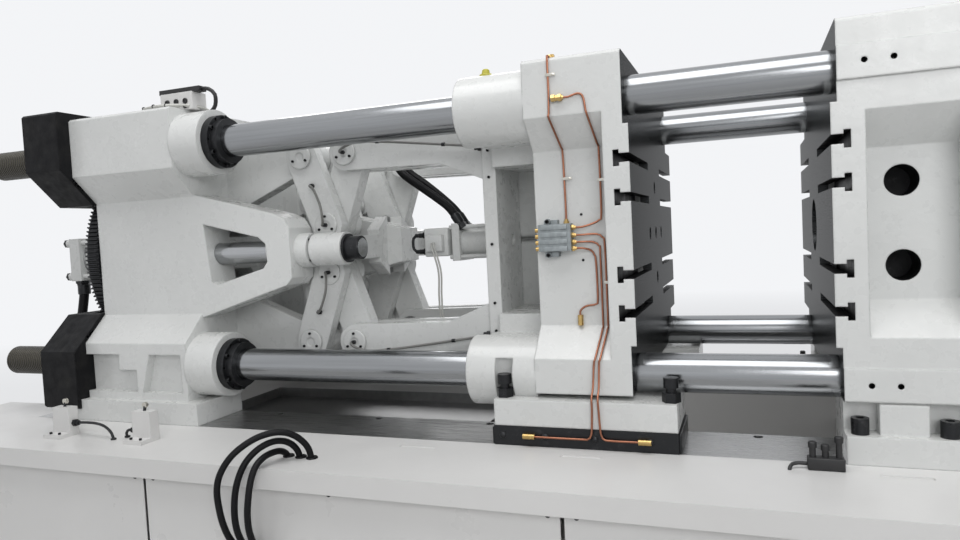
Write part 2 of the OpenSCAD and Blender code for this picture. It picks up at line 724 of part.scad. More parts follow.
module rear_links_upper() { on_axis() color("whitesmoke") both_sides() rear_link_upper(); }
module rear_links_lower() { on_axis() color("whitesmoke") both_sides() mirror([0, 0, 1])
    rear_link_upper(); }
module front_links_upper() { on_axis() color("whitesmoke") both_sides() front_link_upper(); }
module front_links_lower() { on_axis() color("whitesmoke") both_sides() mirror([0, 0, 1])
    front_link_upper(); }
module small_links_upper() { on_axis() color("whitesmoke") both_sides() small_link_upper(); }
module small_links_lower() { on_axis() color("whitesmoke") both_sides() mirror([0, 0, 1])
    small_link_upper(); }

module elbow_pins() { both_sides() y_cyl(pin_d, lay_in, lay_out, elbow_x, elbow_z); }
module elbow_pins_upper() { on_axis() color("silver") elbow_pins(); }
module elbow_pins_lower() { on_axis() color("silver") mirror([0, 0, 1]) elbow_pins(); }

// Moving platen

module moving_platen() {
    low = -437;
    rear_x = hub_end + 45;
    on_axis() color("whitesmoke") difference() {
        union() {
            along_x(move_back, move_plane - 55)
                polygon(mirrored(side_points(platen_half, platen_top, low, side_recess, 338)));
            along_x(move_plane - 56, move_plane)
                polygon(mirrored([[platen_half, low], [platen_half, platen_top - corner],
                    [platen_half - corner, platen_top]]));
            span([move_plane - 1, -platen_half, -300], [move_face, platen_half, 300]);
            bar_bores(hub_d, hub_end, move_back + 1);
            span([hub_end, -300, -338], [rear_x, 300, 338]);
            both_rows() span([rear_x - 1, -330, 232], [move_back + 1, 330, 338]);
            both_sides() both_rows() span([hub_end + 30, 320, 290], [move_back + 1, bar_y, bar_z + 20]);
            span([rear_x - 1, -60, -240], [move_back + 1, 60, 240]);
            both_sides() both_rows() for (y = [lay_in, lay_out - fork_t])
                along_y(y, y + fork_t) polygon([[hub_end + 1, 200],
                    [hub_end - 150, pin_row - eye_r - 6], [front_pin_x, pin_row - eye_r + 1],
                        [front_pin_x, pin_row + eye_r - 6],
                    [hub_end + 1, pin_row + eye_r - 6]]);
            both_sides() both_rows() for (y = [lay_in, lay_out - fork_t])
                y_cyl(2 * eye_r, y, y + fork_t, front_pin_x, pin_row);
            both_sides() span([move_face - 408, foot_in, foot_z + shoe_t + slip],
                [move_face + 103, foot_half, foot_top]);
            both_sides() span([move_back + 20, foot_in - 90, foot_z + shoe_t + 20],
                [move_plane - 20, foot_in + 1, low + 1]);
        }
        bar_bores(bar_d + 2 * run, hub_end - 1, move_face + 1);
        x_cyl(120, hub_end - 1, move_face - 90);
        for (y = [-150, 0, 150], z = [-150, 0, 150]) if (y * z == 0)
            x_cyl(40, hub_end - 1, move_face + 1, y, z);
        t_slots(move_face, 1);
        both_sides() both_rows() for (y = [lay_in, lay_out - fork_t])
            y_cyl(pin_d, y - 1, y + fork_t + 1, front_pin_x, pin_row);
        both_sides() for (x = [-385, 85]) {
            z_cyl(27, foot_z + shoe_t - 1, foot_top + 1, move_face + x, bolt_y);
            z_cyl(54, foot_top, foot_top + 110, move_face + x, bolt_y);
        }
    }
}

module front_toggle_pins() {
    on_axis() color("silver") both_sides() both_rows()
        y_cyl(pin_d, lay_in, lay_out + 4, front_pin_x, pin_row);
}

module slide_shoes() {
    on_axis() color("#1b1b1b") both_sides() {
        span([move_face - 411, foot_in + 6, foot_z + slip], [move_face + 104, foot_half, foot_z + shoe_t]);
    }
}

module jack_bolts() {
    on_axis() color("#161616") both_sides() for (x = [-385, 85]) {
        z_cyl(26.4, foot_z + shoe_t, foot_top + 40, move_face + x, bolt_y);
        translate([move_face + x, bolt_y, foot_top]) cylinder(d = 50, h = 26, $fn = 6);
        z_cyl(40, foot_top + 39, foot_top + 66, move_face + x, bolt_y);
    }
}

module ejector_cylinder() {
    x1 = hub_end;
    on_axis() color("gainsboro") difference() {
        union() {
            span([x1 - 22, -95, -95], [x1, 95, 95]);
            x_cyl(110, x1 - 190, x1 - 21);
            span([x1 - 215, -68, -68], [x1 - 185, 68, 68]);
            for (sy = SIDES, sz = SIDES) x_cyl(16, x1 - 228, x1 - 20, sy * 54, sz * 54);
            x_cyl(119, x1 - 1, x1 + 46);
        }
        x_cyl(80, x1 - 170, x1 - 15);
        x_cyl(45 + 2 * run, x1 - 16, x1 + 47);
    }
}

module ejector_plate() {
    on_axis() color("silver") {
        x_cyl(45, hub_end - 120, move_face - 200);
        x_cyl(79, hub_end - 160, hub_end - 119);
        x_cyl(38, move_face - 201, move_face - 20);
    }
}

module distributor_block() {
    x0 = -775;
    on_axis() color("slategray") difference() {
        union() {
            span([x0, -waist - 38, -36], [x0 + 95, -waist, 42]);
            for (z = [-52, 40]) span([x0 + 15, -waist - 24, z], [x0 + 55, -waist, z + 14]);
        }
        for (z = [-20, 0, 20]) x_cyl(9, x0 + 80, x0 + 96, -waist - 20, z);
    }
    on_axis() color("#111111") for (z = [-46, 50]) y_cyl(16, -waist - 34, -waist - 23, x0 + 28, z);
}

module copper_pipes() {
    y = -waist - 6;
    port = y - 14;
    yb = -platen_half - 5;
    shoe_y = -foot_half - 8 - run;
    on_axis() color("peru") {
        tube([[-712, yb, 494], [-712, yb, 400], [-714, yb, 345], [-714, yb, 332], [-702, y - 12, 262],
            [-700, y, 240], [-698, y, 120], [-698, y, 54]], 6);
        tube([[-674, yb - 3, 385], [-656, yb - 3, 385], [-638, yb, 391], [-624, yb, 390],
            [-616, yb, 378],
            [-612, yb, 350], [-608, yb, 332], [-598, y - 12, 262], [-596, y, 240], [-596, y, 70],
            [-602, y, 48],
            [-622, y - 4, 38], [-652, port, 30], [-670, port, 30]], 6);
        tube([[-670, port, 8], [-652, port, 8], [-612, y - 2, 8], [-596, y, -2], [-590, y, -30],
            [-590, y, -240],
            [-590, y - 12, -262], [-600, yb, -334], [-604, yb, -348], [-605, yb - 12, -412],
            [-605, shoe_y, -438],
            [-604, shoe_y, foot_z + 112], [-600, shoe_y, foot_z + 47], [-590, shoe_y, foot_z + 32],
            [-570, shoe_y, foot_z + 30], [-500, shoe_y, foot_z + 30]], 6);
        tube([[-670, port, -12], [-652, port, -12], [-622, y - 2, -14], [-606, y, -26], [-604, y, -48],
            [-604, y, -240], [-604, y - 12, -262], [-614, yb, -334], [-618, yb, -348],
            [-621, yb - 12, -412], [-622, shoe_y, -438],
            [-622, shoe_y, foot_z + 112], [-626, shoe_y, foot_z + 47], [-636, shoe_y, foot_z + 32],
            [-656, shoe_y, foot_z + 30], [-788, shoe_y, foot_z + 30]], 6);
        tube([[-670, port, -30], [-652, port, -30], [-630, y - 3, -37], [-620, y, -52], [-617, y, -72],
            [-616, y, -176], [-622, y, -192], [-646, y, -196], [-660, y - 1, -202],
            [-668, y - 2.3, -212],
            [-668, y - 2.3, -222]], 6);
    }
}

module brass_fittings() {
    y = -waist - 6;
    port = y - 14;
    yb = -platen_half - 5;
    shoe_y = -foot_half - 8 - run;
    on_axis() color("goldenrod") {
        x_cyl(16, -704, -674, yb - 3 - run, 385);
        z_cyl(16, -252, -222, -668, y - 2.3);
        x_cyl(16, -500, -466, shoe_y, foot_z + 30);
        x_cyl(16, -822, -788, shoe_y, foot_z + 30);
        for (z = [-28, -10, 8, 26]) x_cyl(12, -787, -775, -waist - 22, z);
        for (z = [30, 8, -12, -30]) x_cyl(11, -680, -670, port, z);
        z_cyl(11, 42, 54, -698, y);
    }
}

// Injection unit, finished plainly

module injection_base() {
    color("gainsboro") both_sides() {
        span([fixed_t + 60, rail_in, rail_h - rail_t], [-bed_x0 - 60, rail_in + 160, rail_h + 60]);
        span([fixed_t + 90, rail_in + 40, rail_h + 60], [-bed_x0 - 90, rail_in + 100, rail_h + 85]);
    }
}

module injection_carriage() {
    color("whitesmoke") difference() {
        union() {
            both_sides() span([carriage_x, rail_in + 10, rail_h + 85 + slip],
                [carriage_x + 1500, rail_in + 130, rail_h + 150]);
            for (x = [carriage_x, carriage_x + 700, carriage_x + 1440])
                span([x, -rail_in - 100, rail_h + 110], [x + 60, rail_in + 100, rail_h + 240]);
            span([carriage_x + 30, -170, axis_h - 190], [carriage_x + 330, 170, axis_h + 150]);
            span([carriage_x + 30, -150, rail_h + 200], [carriage_x + 330, 150, axis_h - 180]);
            span([carriage_x + 1180, -230, axis_h - 190], [carriage_x + 1330, 230, axis_h + 190]);
            span([carriage_x + 1180, -150, rail_h + 200], [carriage_x + 1330, 150, axis_h - 180]);
            both_sides() on_axis() x_cyl(60, carriage_x + 329, carriage_x + 1181, 190, 0);
            both_sides() on_axis() span([carriage_x + 250, 168, -60], [carriage_x + 330, 225, 60]);
            both_sides() on_axis() x_cyl(96, carriage_x + 1329, carriage_x + 1640, 115, 0);
        }
        on_axis() x_cyl(barrel_d + 2 * run, carriage_x + 29, carriage_x + 331);
        both_sides() on_axis() x_cyl(40 + 2 * run, carriage_x + 1179, carriage_x + 1341, 115, 0);
        both_sides() on_axis() x_cyl(70, carriage_x + 1340, carriage_x + 1625, 115, 0);
        z_cyl(90, axis_h, axis_h + 151, carriage_x + 150, 0);
    }
}

module barrel() {
    tip = barrel_x - 170;
    on_axis() color("silver") difference() {
        union() {
            x_cyl(barrel_d, barrel_x, carriage_x + 330);
            x_cyl(barrel_d - 20, barrel_x - 60, barrel_x + 1);
            translate([tip + 60, 0, 0]) rotate([0, 90, 0]) cylinder(d1 = 56, d2 = 90, h = 51);
            x_cyl(56, tip + 20, tip + 61);
            translate([tip, 0, 0]) rotate([0, 90, 0]) cylinder(d1 = 24, d2 = 56, h = 20.5);
        }
        x_cyl(screw_d + 2 * run, barrel_x - 30, carriage_x + 331);
        x_cyl(6, tip - 1, barrel_x - 29);
        z_cyl(70, 0, barrel_d, carriage_x + 150, 0);
    }
}

module heater_bands() {
    on_axis() color("silver") for (i = [0:4]) difference() {
        x_cyl(barrel_d + 16, barrel_x + 20 + i * 132, barrel_x + 130 + i * 132);
        x_cyl(barrel_d + 2 * run, barrel_x + 19 + i * 132, barrel_x + 131 + i * 132);
        span([barrel_x + 19 + i * 132, -3, barrel_d / 2 - 3], [barrel_x + 131 + i * 132, 3, barrel_d]);
    }
}

module injection_screw() {
    on_axis() color("silver") {
        x_cyl(screw_d - 18, barrel_x + 40, carriage_x + 788);
        translate([barrel_x - 12, 0, 0]) rotate([0, 90, 0]) cylinder(d1 = 12, d2 = screw_d - 18, h = 53);
        for (i = [0:12]) x_cyl(screw_d, barrel_x + 60 + i * 62, barrel_x + 70 + i * 62);
    }
}

// The pushing block with its motor and the two injection rods, carried on the guide bars
module screw_motor() {
    x0 = carriage_x + 750;
    on_axis() color("#3a3f45") difference() {
        union() {
            span([x0, -235, -90], [x0 + 80, 235, 90]);
            x_cyl(150, x0 + 79, x0 + 190);
            both_sides() x_cyl(40, x0 + 79, x0 + 620, 115, 0);
            both_sides() x_cyl(69, x0 + 600, x0 + 640, 115, 0);
        }
        x_cyl(screw_d - 18 + 2 * run, x0 - 1, x0 + 40);
        both_sides() x_cyl(60 + 2 * run, x0 - 1, x0 + 81, 190, 0);
    }
}

module hopper() {
    z0 = axis_h + 150;
    color("silver") translate([carriage_x + 150, 0, 0]) difference() {
        union() {
            translate([0, 0, z0]) cylinder(d = 190, h = 20);
            translate([0, 0, z0 + 19]) cylinder(d = 104, h = 62);
            translate([0, 0, z0 + 80]) cylinder(d1 = 104, d2 = 420, h = 240);
            translate([0, 0, z0 + 320]) cylinder(d = 420, h = 160);
        }
        translate([0, 0, z0 - 1]) cylinder(d = 90, h = 82);
        translate([0, 0, z0 + 80.9]) cylinder(d1 = 90, d2 = 412, h = 239.2);
        translate([0, 0, z0 + 320]) cylinder(d = 412, h = 161);
    }
}

bed_frame();
bed_top_plates();
side_panels();
slide_rails();
chip_tray();
levelling_pads();
fixed_platen();
platen_bolts();
locating_ring();
tie_bar_front_upper();
tie_bar_front_lower();
tie_bar_rear_upper();
tie_bar_rear_lower();
tie_bar_end_nuts();
limit_switches();
bed_hoses();
tail_platen();
bar_collars();
guide_bushes();
ring_rollers();
nut_covers();
adjust_motor();
clamp_cylinder();
cylinder_hoses();
junction_box();
rear_toggle_pins();
ring_gear();
adjust_pinion();
nut_front_upper();
nut_front_lower();
nut_rear_upper();
nut_rear_lower();
crosshead();
guide_rods();
guide_rod_nuts();
piston_rod();
rear_links_upper();
rear_links_lower();
front_links_upper();
front_links_lower();
small_links_upper();
small_links_lower();
elbow_pins_upper();
elbow_pins_lower();
moving_platen();
front_toggle_pins();
slide_shoes();
jack_bolts();
ejector_cylinder();
ejector_plate();
distributor_block();
copper_pipes();
brass_fittings();
injection_base();
injection_carriage();
barrel();
heater_bands();
injection_screw();
screw_motor();
hopper();
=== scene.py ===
"""Looks of the injection moulding machine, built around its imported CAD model.

Sizes and places are in millimetres: x along the row, y across it, and z up from the level of the shape,
which is the clamp axis unless another is named. The materials and the stage are in metres.
"""

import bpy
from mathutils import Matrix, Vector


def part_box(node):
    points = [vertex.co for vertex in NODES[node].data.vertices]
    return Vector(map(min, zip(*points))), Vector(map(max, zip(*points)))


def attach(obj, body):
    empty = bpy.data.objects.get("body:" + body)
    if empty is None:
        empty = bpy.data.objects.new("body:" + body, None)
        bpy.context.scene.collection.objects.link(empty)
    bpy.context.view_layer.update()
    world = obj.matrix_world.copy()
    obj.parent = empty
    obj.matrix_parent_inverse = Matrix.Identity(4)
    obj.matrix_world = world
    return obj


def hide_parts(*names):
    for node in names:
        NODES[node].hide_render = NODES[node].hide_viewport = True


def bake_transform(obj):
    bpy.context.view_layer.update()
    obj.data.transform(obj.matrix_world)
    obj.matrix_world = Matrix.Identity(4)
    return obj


bl_info = {
    "name": "Injection moulding machine looks",
    "version": (1, 0, 0),
    "blender": (4, 5, 0),
    "location": "3D View > Sidebar > Moulding Machine",
    "description": "Finishes, fasteners, pipes, hoses and cables of a toggle injection moulding machine",
    "category": "Object",
}

import math
from itertools import product

import bmesh
import bpy
from mathutils import Matrix, Vector

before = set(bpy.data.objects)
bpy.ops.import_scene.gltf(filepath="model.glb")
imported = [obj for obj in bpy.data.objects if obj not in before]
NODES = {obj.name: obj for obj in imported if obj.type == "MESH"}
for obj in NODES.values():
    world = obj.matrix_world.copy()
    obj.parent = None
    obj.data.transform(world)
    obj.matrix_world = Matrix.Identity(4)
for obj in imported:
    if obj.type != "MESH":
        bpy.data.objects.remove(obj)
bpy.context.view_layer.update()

FLOOR = 0
RAIL = 700             # top of the bed
AXIS = 1282            # height of the clamp axis
TAIL_TOP = 515         # top of the tail platen, over the axis
MOTOR_Z = 486.6        # mould height motor, over the axis
BAR_Y = 425            # tie bar centres
BAR_Z = 390
BED_HALF = 895         # half the bed's width
TAIL_X = -2515         # tail platen's rear face
WEB_X = -2050          # tail platen's front
THREAD_END = -2662     # front end of the tie bars' thread
HUB_END = -1003        # rear of the moving platen
MOVE_FACE = -500       # moving mould face
FIXED_FACE = -15       # fixed mould face
FIXED_BACK = 320       # rear of the fixed platen
REAR_PIN_X = -1690     # rear toggle pins
FRONT_PIN_X = -1510.8
PIN_Z = 330            # height of both over or under the axis
ELBOW_X = -1600.4      # elbow pins
ELBOW_Z = 83.8
GUIDE_Y = 355          # guide rods
PANEL_Y = 858          # outer faces of the side panels
PANELS = [-3210 + 1284 * i for i in range(5)]       # low x edges of the side panels

# T-slots of the mould faces, and the fixed platen's side holes by place and radius
SLOT_ROWS = (-210, -105, 105, 210)
SIDE_HOLES = ([(148, z, 39.5) for z in (-105, 105)]
              + [(x, z, 7.3) for x, z in product((60, 122), (-391, 391))])

SIDES = (-1, 1)
CORNERS = tuple(product(SIDES, SIDES))
AHEAD = (1, 0, 0)
BACK = (-1, 0, 0)
UP = (0, 0, 1)
DOWN = (0, 0, -1)
NEAR = (0, -1, 0)      # towards the operator


# Settings

class PaintSettings(bpy.types.PropertyGroup):
    """Colours of the painted castings, sheet metal and hoses"""
    casting: bpy.props.FloatVectorProperty(
        name="Casting paint", description="Gloss paint of the platens, links and crosshead",
        subtype="COLOR", size=3, min=0, max=1, default=(0.68, 0.69, 0.68))
    bed: bpy.props.FloatVectorProperty(
        name="Bed paint", description="Paint of the bed and its top plates",
        subtype="COLOR", size=3, min=0, max=1, default=(0.69, 0.685, 0.675))
    oxide: bpy.props.FloatVectorProperty(
        name="Black oxide", description="Oiled black finish of nuts, screws and gears",
        subtype="COLOR", size=3, min=0, max=1, default=(0.018, 0.019, 0.021))
    hose: bpy.props.FloatVectorProperty(
        name="Hose rubber", description="Cover of the hydraulic hoses",
        subtype="COLOR", size=3, min=0, max=1, default=(0.006, 0.006, 0.007))


class DetailSettings(bpy.types.PropertyGroup):
    """Sizes of the small pieces"""
    thread_pitch: bpy.props.FloatProperty(
        name="Tie bar thread pitch", description="Pitch of the thread on the tie bars' rear ends",
        unit="LENGTH", min=0.006, max=0.02, default=0.010)
    grease_hose: bpy.props.FloatProperty(
        name="Grease hose diameter", description="Diameter of the grease hoses on the toggle",
        unit="LENGTH", min=0.004, max=0.012, default=0.009)
    copper_tube: bpy.props.FloatProperty(
        name="Copper tube diameter", description="Diameter of the lubrication tubes",
        unit="LENGTH", min=0.004, max=0.010, default=0.006)
    bed_hose: bpy.props.FloatProperty(
        name="Bed hose diameter", description="Diameter of the hoses that arch over the bed",
        unit="LENGTH", min=0.016, max=0.034, default=0.018)


def paint(key):
    """A colour from the panel"""
    return tuple(getattr(bpy.context.scene.machine_paint, key))


def detail(key):
    """A size from the panel, in millimetres"""
    return 1000 * getattr(bpy.context.scene.machine_detail, key)


# Node trees

class Tree:
    """An emptied node tree, with short calls to add nodes and join them"""

    def __init__(self, tree):
        self.tree = tree
        tree.nodes.clear()

    def node(self, kind, **values):
        """Adds a node: a name among its inputs feeds that input, and any other name sets a property"""
        node = self.tree.nodes.new("ShaderNode" + kind)
        for key, value in values.items():
            if key in node.inputs:
                self.feed(node.inputs[key], value)
            else:
                setattr(node, key, value)
        return node

    def feed(self, socket, value):
        if isinstance(value, bpy.types.NodeSocket):
            self.tree.links.new(value, socket)
        else:
            socket.default_value = value

    def math(self, kind, *values):
        node = self.node("Math", operation=kind)
        for socket, value in zip(node.inputs, values):
            self.feed(socket, value)
        return node.outputs[0]


class Graph(Tree):
    """One material's node tree"""

    def __init__(self, name):
        self.mat = bpy.data.materials.new(name)
        self.mat.use_nodes = True
        super().__init__(self.mat.node_tree)
        self.skin = self.node("BsdfPrincipled")
        self.out = self.node("OutputMaterial", Surface=self.skin.outputs[0])
        self.coords = self.node("TexCoord").outputs["Object"]

    def set(self, **values):
        for key, value in values.items():
            self.feed(self.skin.inputs[key.replace("_", " ")], value)

    def stretch(self, scale):
        return self.node("Mapping", Scale=scale, Vector=self.coords).outputs[0]

    def noise(self, scale, detail=4.0, rough=0.55, at=None):
        at = at or self.coords
        return self.node("TexNoise", Scale=scale, Detail=detail, Roughness=rough, Vector=at).outputs["Fac"]

    def ramp(self, fac, *stops):
        """Colour ramp, where a plain number stands for that grey"""
        node = self.node("ValToRGB", Fac=fac)
        for place, value in stops[1:-1]:
            node.color_ramp.elements.new(place)
        for element, (place, value) in zip(node.color_ramp.elements, stops):
            element.position = place
            element.color = (*value, 1) if hasattr(value, "__len__") else (value, value, value, 1)
        return node.outputs["Color"]

    def shade(self, colour, low, noise, start=0.3, end=0.7):
        """The colour, dimmed to a share of itself where the noise is low"""
        return self.ramp(noise, (start, dimmed(colour, low)), (end, colour))

    def spots(self, noise, start, end, share):
        """Patches where the noise is high, as a factor from nothing to a share"""
        return self.ramp(noise, (start, 0.0), (end, share))

    def set_rough(self, noise, low, high, start=0.3, end=0.7):
        self.set(Roughness=self.ramp(noise, (start, low), (end, high)))

    def mix(self, fac, a, b):
        """Blend of two colours; a Mix node keeps its colour sockets at 6 and 7, and the result at 2"""
        node = self.node("Mix", data_type="RGBA")
        for index, value in ((0, fac), (6, a), (7, b)):
            self.feed(node.inputs[index], (*value, 1) if isinstance(value, tuple) else value)
        return node.outputs[2]

    def set_relief(self, height, strength, distance, edge=0.0):
        """Bump, over edges that look rounded by a radius"""
        node = self.node("Bump", Strength=strength, Distance=distance, Height=height)
        if edge:
            self.feed(node.inputs["Normal"], self.node("Bevel", samples=4, Radius=edge).outputs[0])
        self.set(Normal=node.outputs[0])

    def upward(self):
        """How far a face looks up, for dust that settles on it"""
        normal = self.node("NewGeometry").outputs["Normal"]
        return self.node("SeparateXYZ", Vector=normal).outputs["Z"]


def dimmed(colour, share):
    return tuple(c * share for c in colour)


# Finishes

def cast_paint(name, colour):
    """Gloss paint brushed over a filled casting: faint waves, runs and dust"""
    g = Graph(name)
    stain = g.spots(g.noise(11.0, 7, 0.62), 0.63, 0.85, 0.2)
    smudged = g.mix(stain, g.shade(colour, 0.93, g.noise(3.2, 3, 0.5)), (0.46, 0.44, 0.38))
    dust = g.spots(g.upward(), 0.55, 1.0, 0.24)
    g.set(Base_Color=g.mix(dust, smudged, (0.56, 0.55, 0.52)))
    g.set_rough(g.noise(24, 3), 0.22, 0.40, 0.3, 0.75)
    waves = g.math("MULTIPLY_ADD", g.noise(160, 2), 0.12, g.noise(22, 2))
    g.set_relief(waves, 0.5, 0.0021, 0.007)
    g.set(Coat_Weight=0.25, Coat_Roughness=0.12, IOR=1.5)
    return g.mat


def sheet_paint(name, colour, rough=0.34, edge=0.0025):
    """Sprayed paint on folded sheet and plate, with fine orange peel"""
    g = Graph(name)
    tone = g.shade(colour, 0.94, g.noise(2.1, 4), 0.3, 0.72)
    marks = g.spots(g.noise(34, 8, 0.7), 0.66, 0.8, 0.25)
    g.set(Base_Color=g.mix(marks, tone, dimmed(colour, 0.6)))
    g.set_rough(g.noise(9, 4), rough - 0.05, rough + 0.1)
    g.set_relief(g.noise(420, 2), 0.18, 0.0004, edge)
    g.set(Coat_Weight=0.12, Coat_Roughness=0.2, IOR=1.5)
    return g.mat


def ground_bar(name, colour, rough):
    """Chromed and ground bar: fine rings round it, long rub marks and an oil film"""
    g = Graph(name)
    rings = g.noise(1.0, 3, 0.6, g.stretch((900, 6, 6)))
    rubs = g.noise(1.0, 4, 0.6, g.stretch((1.2, 60, 60)))
    film = g.noise(2.6, 5, 0.6, g.stretch((1.0, 5.0, 5.0)))
    tone = g.shade(colour, 0.80, rubs, 0.28, 0.66)
    g.set(Base_Color=g.mix(g.spots(film, 0.56, 0.8, 0.35), tone, dimmed(colour, 0.72)), Metallic=1.0)
    wear = g.math("ADD", g.math("MULTIPLY", rings, 0.5), g.math("MULTIPLY", rubs, 0.5))
    g.set_rough(wear, rough - 0.05, rough + 0.10)
    g.set_relief(rings, 0.12, 0.0002, 0.0012)
    return g


def threaded_bar(name, colour, pitch, end):
    """A chromed bar whose rear end, up to a place along the row, is cut with an oiled thread"""
    g = ground_bar(name, colour, 0.16)
    band = 0.31416      # length of a wave texture's band at a scale of 1
    place = g.node("SeparateXYZ", Vector=g.coords)
    cut = g.math("LESS_THAN", place.outputs[0], end)
    turns = g.node("TexWave", Scale=band / pitch, Vector=g.coords).outputs["Fac"]
    oiled = g.ramp(turns, (0.15, (0.020, 0.019, 0.017)), (0.8, (0.075, 0.068, 0.052)))
    for key, value in (("Base Color", oiled), ("Roughness", (0.38, 0.38, 0.38))):
        socket = g.skin.inputs[key]
        g.feed(socket, g.mix(cut, socket.links[0].from_socket, value))
    g.set_relief(g.math("MULTIPLY", turns, cut), 1.0, 0.003, 0.0012)
    return g.mat


def machined(name, colour, rough=0.3, grain=(300, 300, 8), shade=0.7, glance=1.0):
    """Milled or ground steel with a straight grain, darker touches and a tint at glancing angles"""
    g = Graph(name)
    cut = g.noise(1.0, 3, 0.5, g.stretch(grain))
    touches = g.spots(g.noise(14, 6, 0.65), 0.55, 0.85, 0.6)
    g.set(Base_Color=g.mix(touches, g.shade(colour, 0.82, cut), dimmed(colour, shade)))
    g.set(Metallic=1.0, Specular_Tint=(glance, glance, glance, 1.0))
    g.set_rough(cut, rough - 0.07, rough + 0.1, 0.25, 0.75)
    g.set_relief(cut, 0.22, 0.0003, 0.0012)
    return g.mat


def black_steel(name, colour, rough=0.42):
    """Oiled black oxide with scuffed, brighter patches"""
    g = Graph(name)
    scuffs = g.spots(g.noise(42, 8, 0.68), 0.56, 0.78, 0.5)
    g.set(Base_Color=g.mix(scuffs, colour, (0.10, 0.10, 0.105)), Metallic=0.55)
    g.set_rough(g.noise(18, 5), rough - 0.14, rough + 0.12, 0.3, 0.72)
    g.set_relief(g.noise(260, 3), 0.25, 0.0004, 0.0016)
    return g.mat


def cast_black(name, colour):
    """Rough black painted iron"""
    g = Graph(name)
    worn = g.spots(g.noise(16, 6), 0.5, 0.8, 0.5)
    g.set(Base_Color=g.mix(worn, colour, (0.030, 0.029, 0.027)), Specular_IOR_Level=0.14)
    g.set_rough(g.noise(30, 4), 0.38, 0.66)
    g.set_relief(g.noise(120, 4), 0.5, 0.001, 0.004)
    return g.mat


def drawn_tube(name, colour, rough=0.32):
    """Copper or brass with handling marks and a slight tarnish"""
    g = Graph(name)
    spot = g.noise(60, 7, 0.7)
    tone = g.shade(colour, 0.78, g.noise(9, 4))
    g.set(Base_Color=g.mix(g.spots(spot, 0.56, 0.8, 0.55), tone, dimmed(colour, 0.42)), Metallic=1.0)
    g.set_rough(spot, rough - 0.08, rough + 0.14)
    g.set_relief(g.noise(380, 2), 0.15, 0.0002)
    return g.mat


def hose_cover(name, colour):
    """Hydraulic hose rubber with the print of its wrapping cloth"""
    g = Graph(name)
    scuffs = g.spots(g.noise(12, 6), 0.55, 0.85, 0.6)
    g.set(Base_Color=g.mix(scuffs, colour, (0.016, 0.016, 0.016)), Specular_IOR_Level=0.15)
    g.set_rough(g.noise(24, 4), 0.36, 0.58)
    g.set_relief(g.noise(900, 2, 0.6), 0.3, 0.0004)
    return g.mat


def moulded(name, colour, rough=0.45):
    """Fine-grained plastic of caps, cables and switch bodies"""
    g = Graph(name)
    g.set(Base_Color=g.shade(colour, 0.85, g.noise(30, 5)))
    g.set_rough(g.noise(60, 4), rough - 0.08, rough + 0.1)
    g.set_relief(g.noise(1500, 2), 0.12, 0.0002, 0.0008)
    return g.mat


def metering_block(name, colour):
    """Grey phosphated metering block"""
    g = Graph(name)
    g.set(Base_Color=g.shade(colour, 0.7, g.noise(70, 6)), Metallic=0.7)
    g.set_rough(g.noise(50, 4), 0.38, 0.6)
    g.set_relief(g.noise(420, 3), 0.25, 0.0003, 0.0012)
    return g.mat


def tinted_barrel(name, colour):
    """Barrel steel, straw and blue where the heat has reached it"""
    g = Graph(name)
    heat = g.noise(1.0, 4, 0.6, g.stretch((5, 2, 2)))
    blue = (0.10, 0.11, 0.16)
    straw = (0.33, 0.25, 0.15)
    g.set(Base_Color=g.ramp(heat, (0.25, blue), (0.5, colour), (0.72, straw)), Metallic=1.0)
    g.set_rough(g.noise(30, 4), 0.28, 0.46)
    g.set_relief(g.noise(1.0, 3, 0.5, g.stretch((700, 8, 8))), 0.15, 0.0002)
    return g.mat


def brushed_sheet(name, colour):
    """Brushed stainless sheet of the hopper"""
    g = Graph(name)
    hair = g.noise(1.0, 4, 0.6, g.stretch((14, 14, 900)))
    g.set(Base_Color=g.shade(colour, 0.8, hair), Metallic=1.0)
    g.set_rough(hair, 0.24, 0.42)
    g.set_relief(hair, 0.12, 0.0002)
    return g.mat


FINISH = {}

# CAD nodes of each finish
NODE_FINISHES = {
    "sheet_white": "bed_frame bed_top_plates limit_switches junction_box injection_base",
    "panel_white": "side_panels",
    "cast_white": "fixed_platen tail_platen moving_platen guide_bushes clamp_cylinder crosshead "
                  "ejector_cylinder injection_carriage",
    "ground": "locating_ring ring_rollers rear_toggle_pins front_toggle_pins adjust_pinion ejector_plate "
              "injection_screw",
    "oxide": "tie_bar_end_nuts bar_collars ring_gear guide_rod_nuts slide_shoes",
    "screw": "platen_bolts jack_bolts",
    "guide_rod": "guide_rods piston_rod",
    "motor_grey": "adjust_motor screw_motor",
    "cover_black": "nut_covers",
    "hose": "bed_hoses cylinder_hoses",
    "rail": "slide_rails",
    "tray": "chip_tray",
    "iron": "levelling_pads",
    "block": "distributor_block",
    "copper": "copper_pipes",
    "brass": "brass_fittings",
    "barrel": "barrel",
    "band": "heater_bands",
    "bright": "hopper",
}


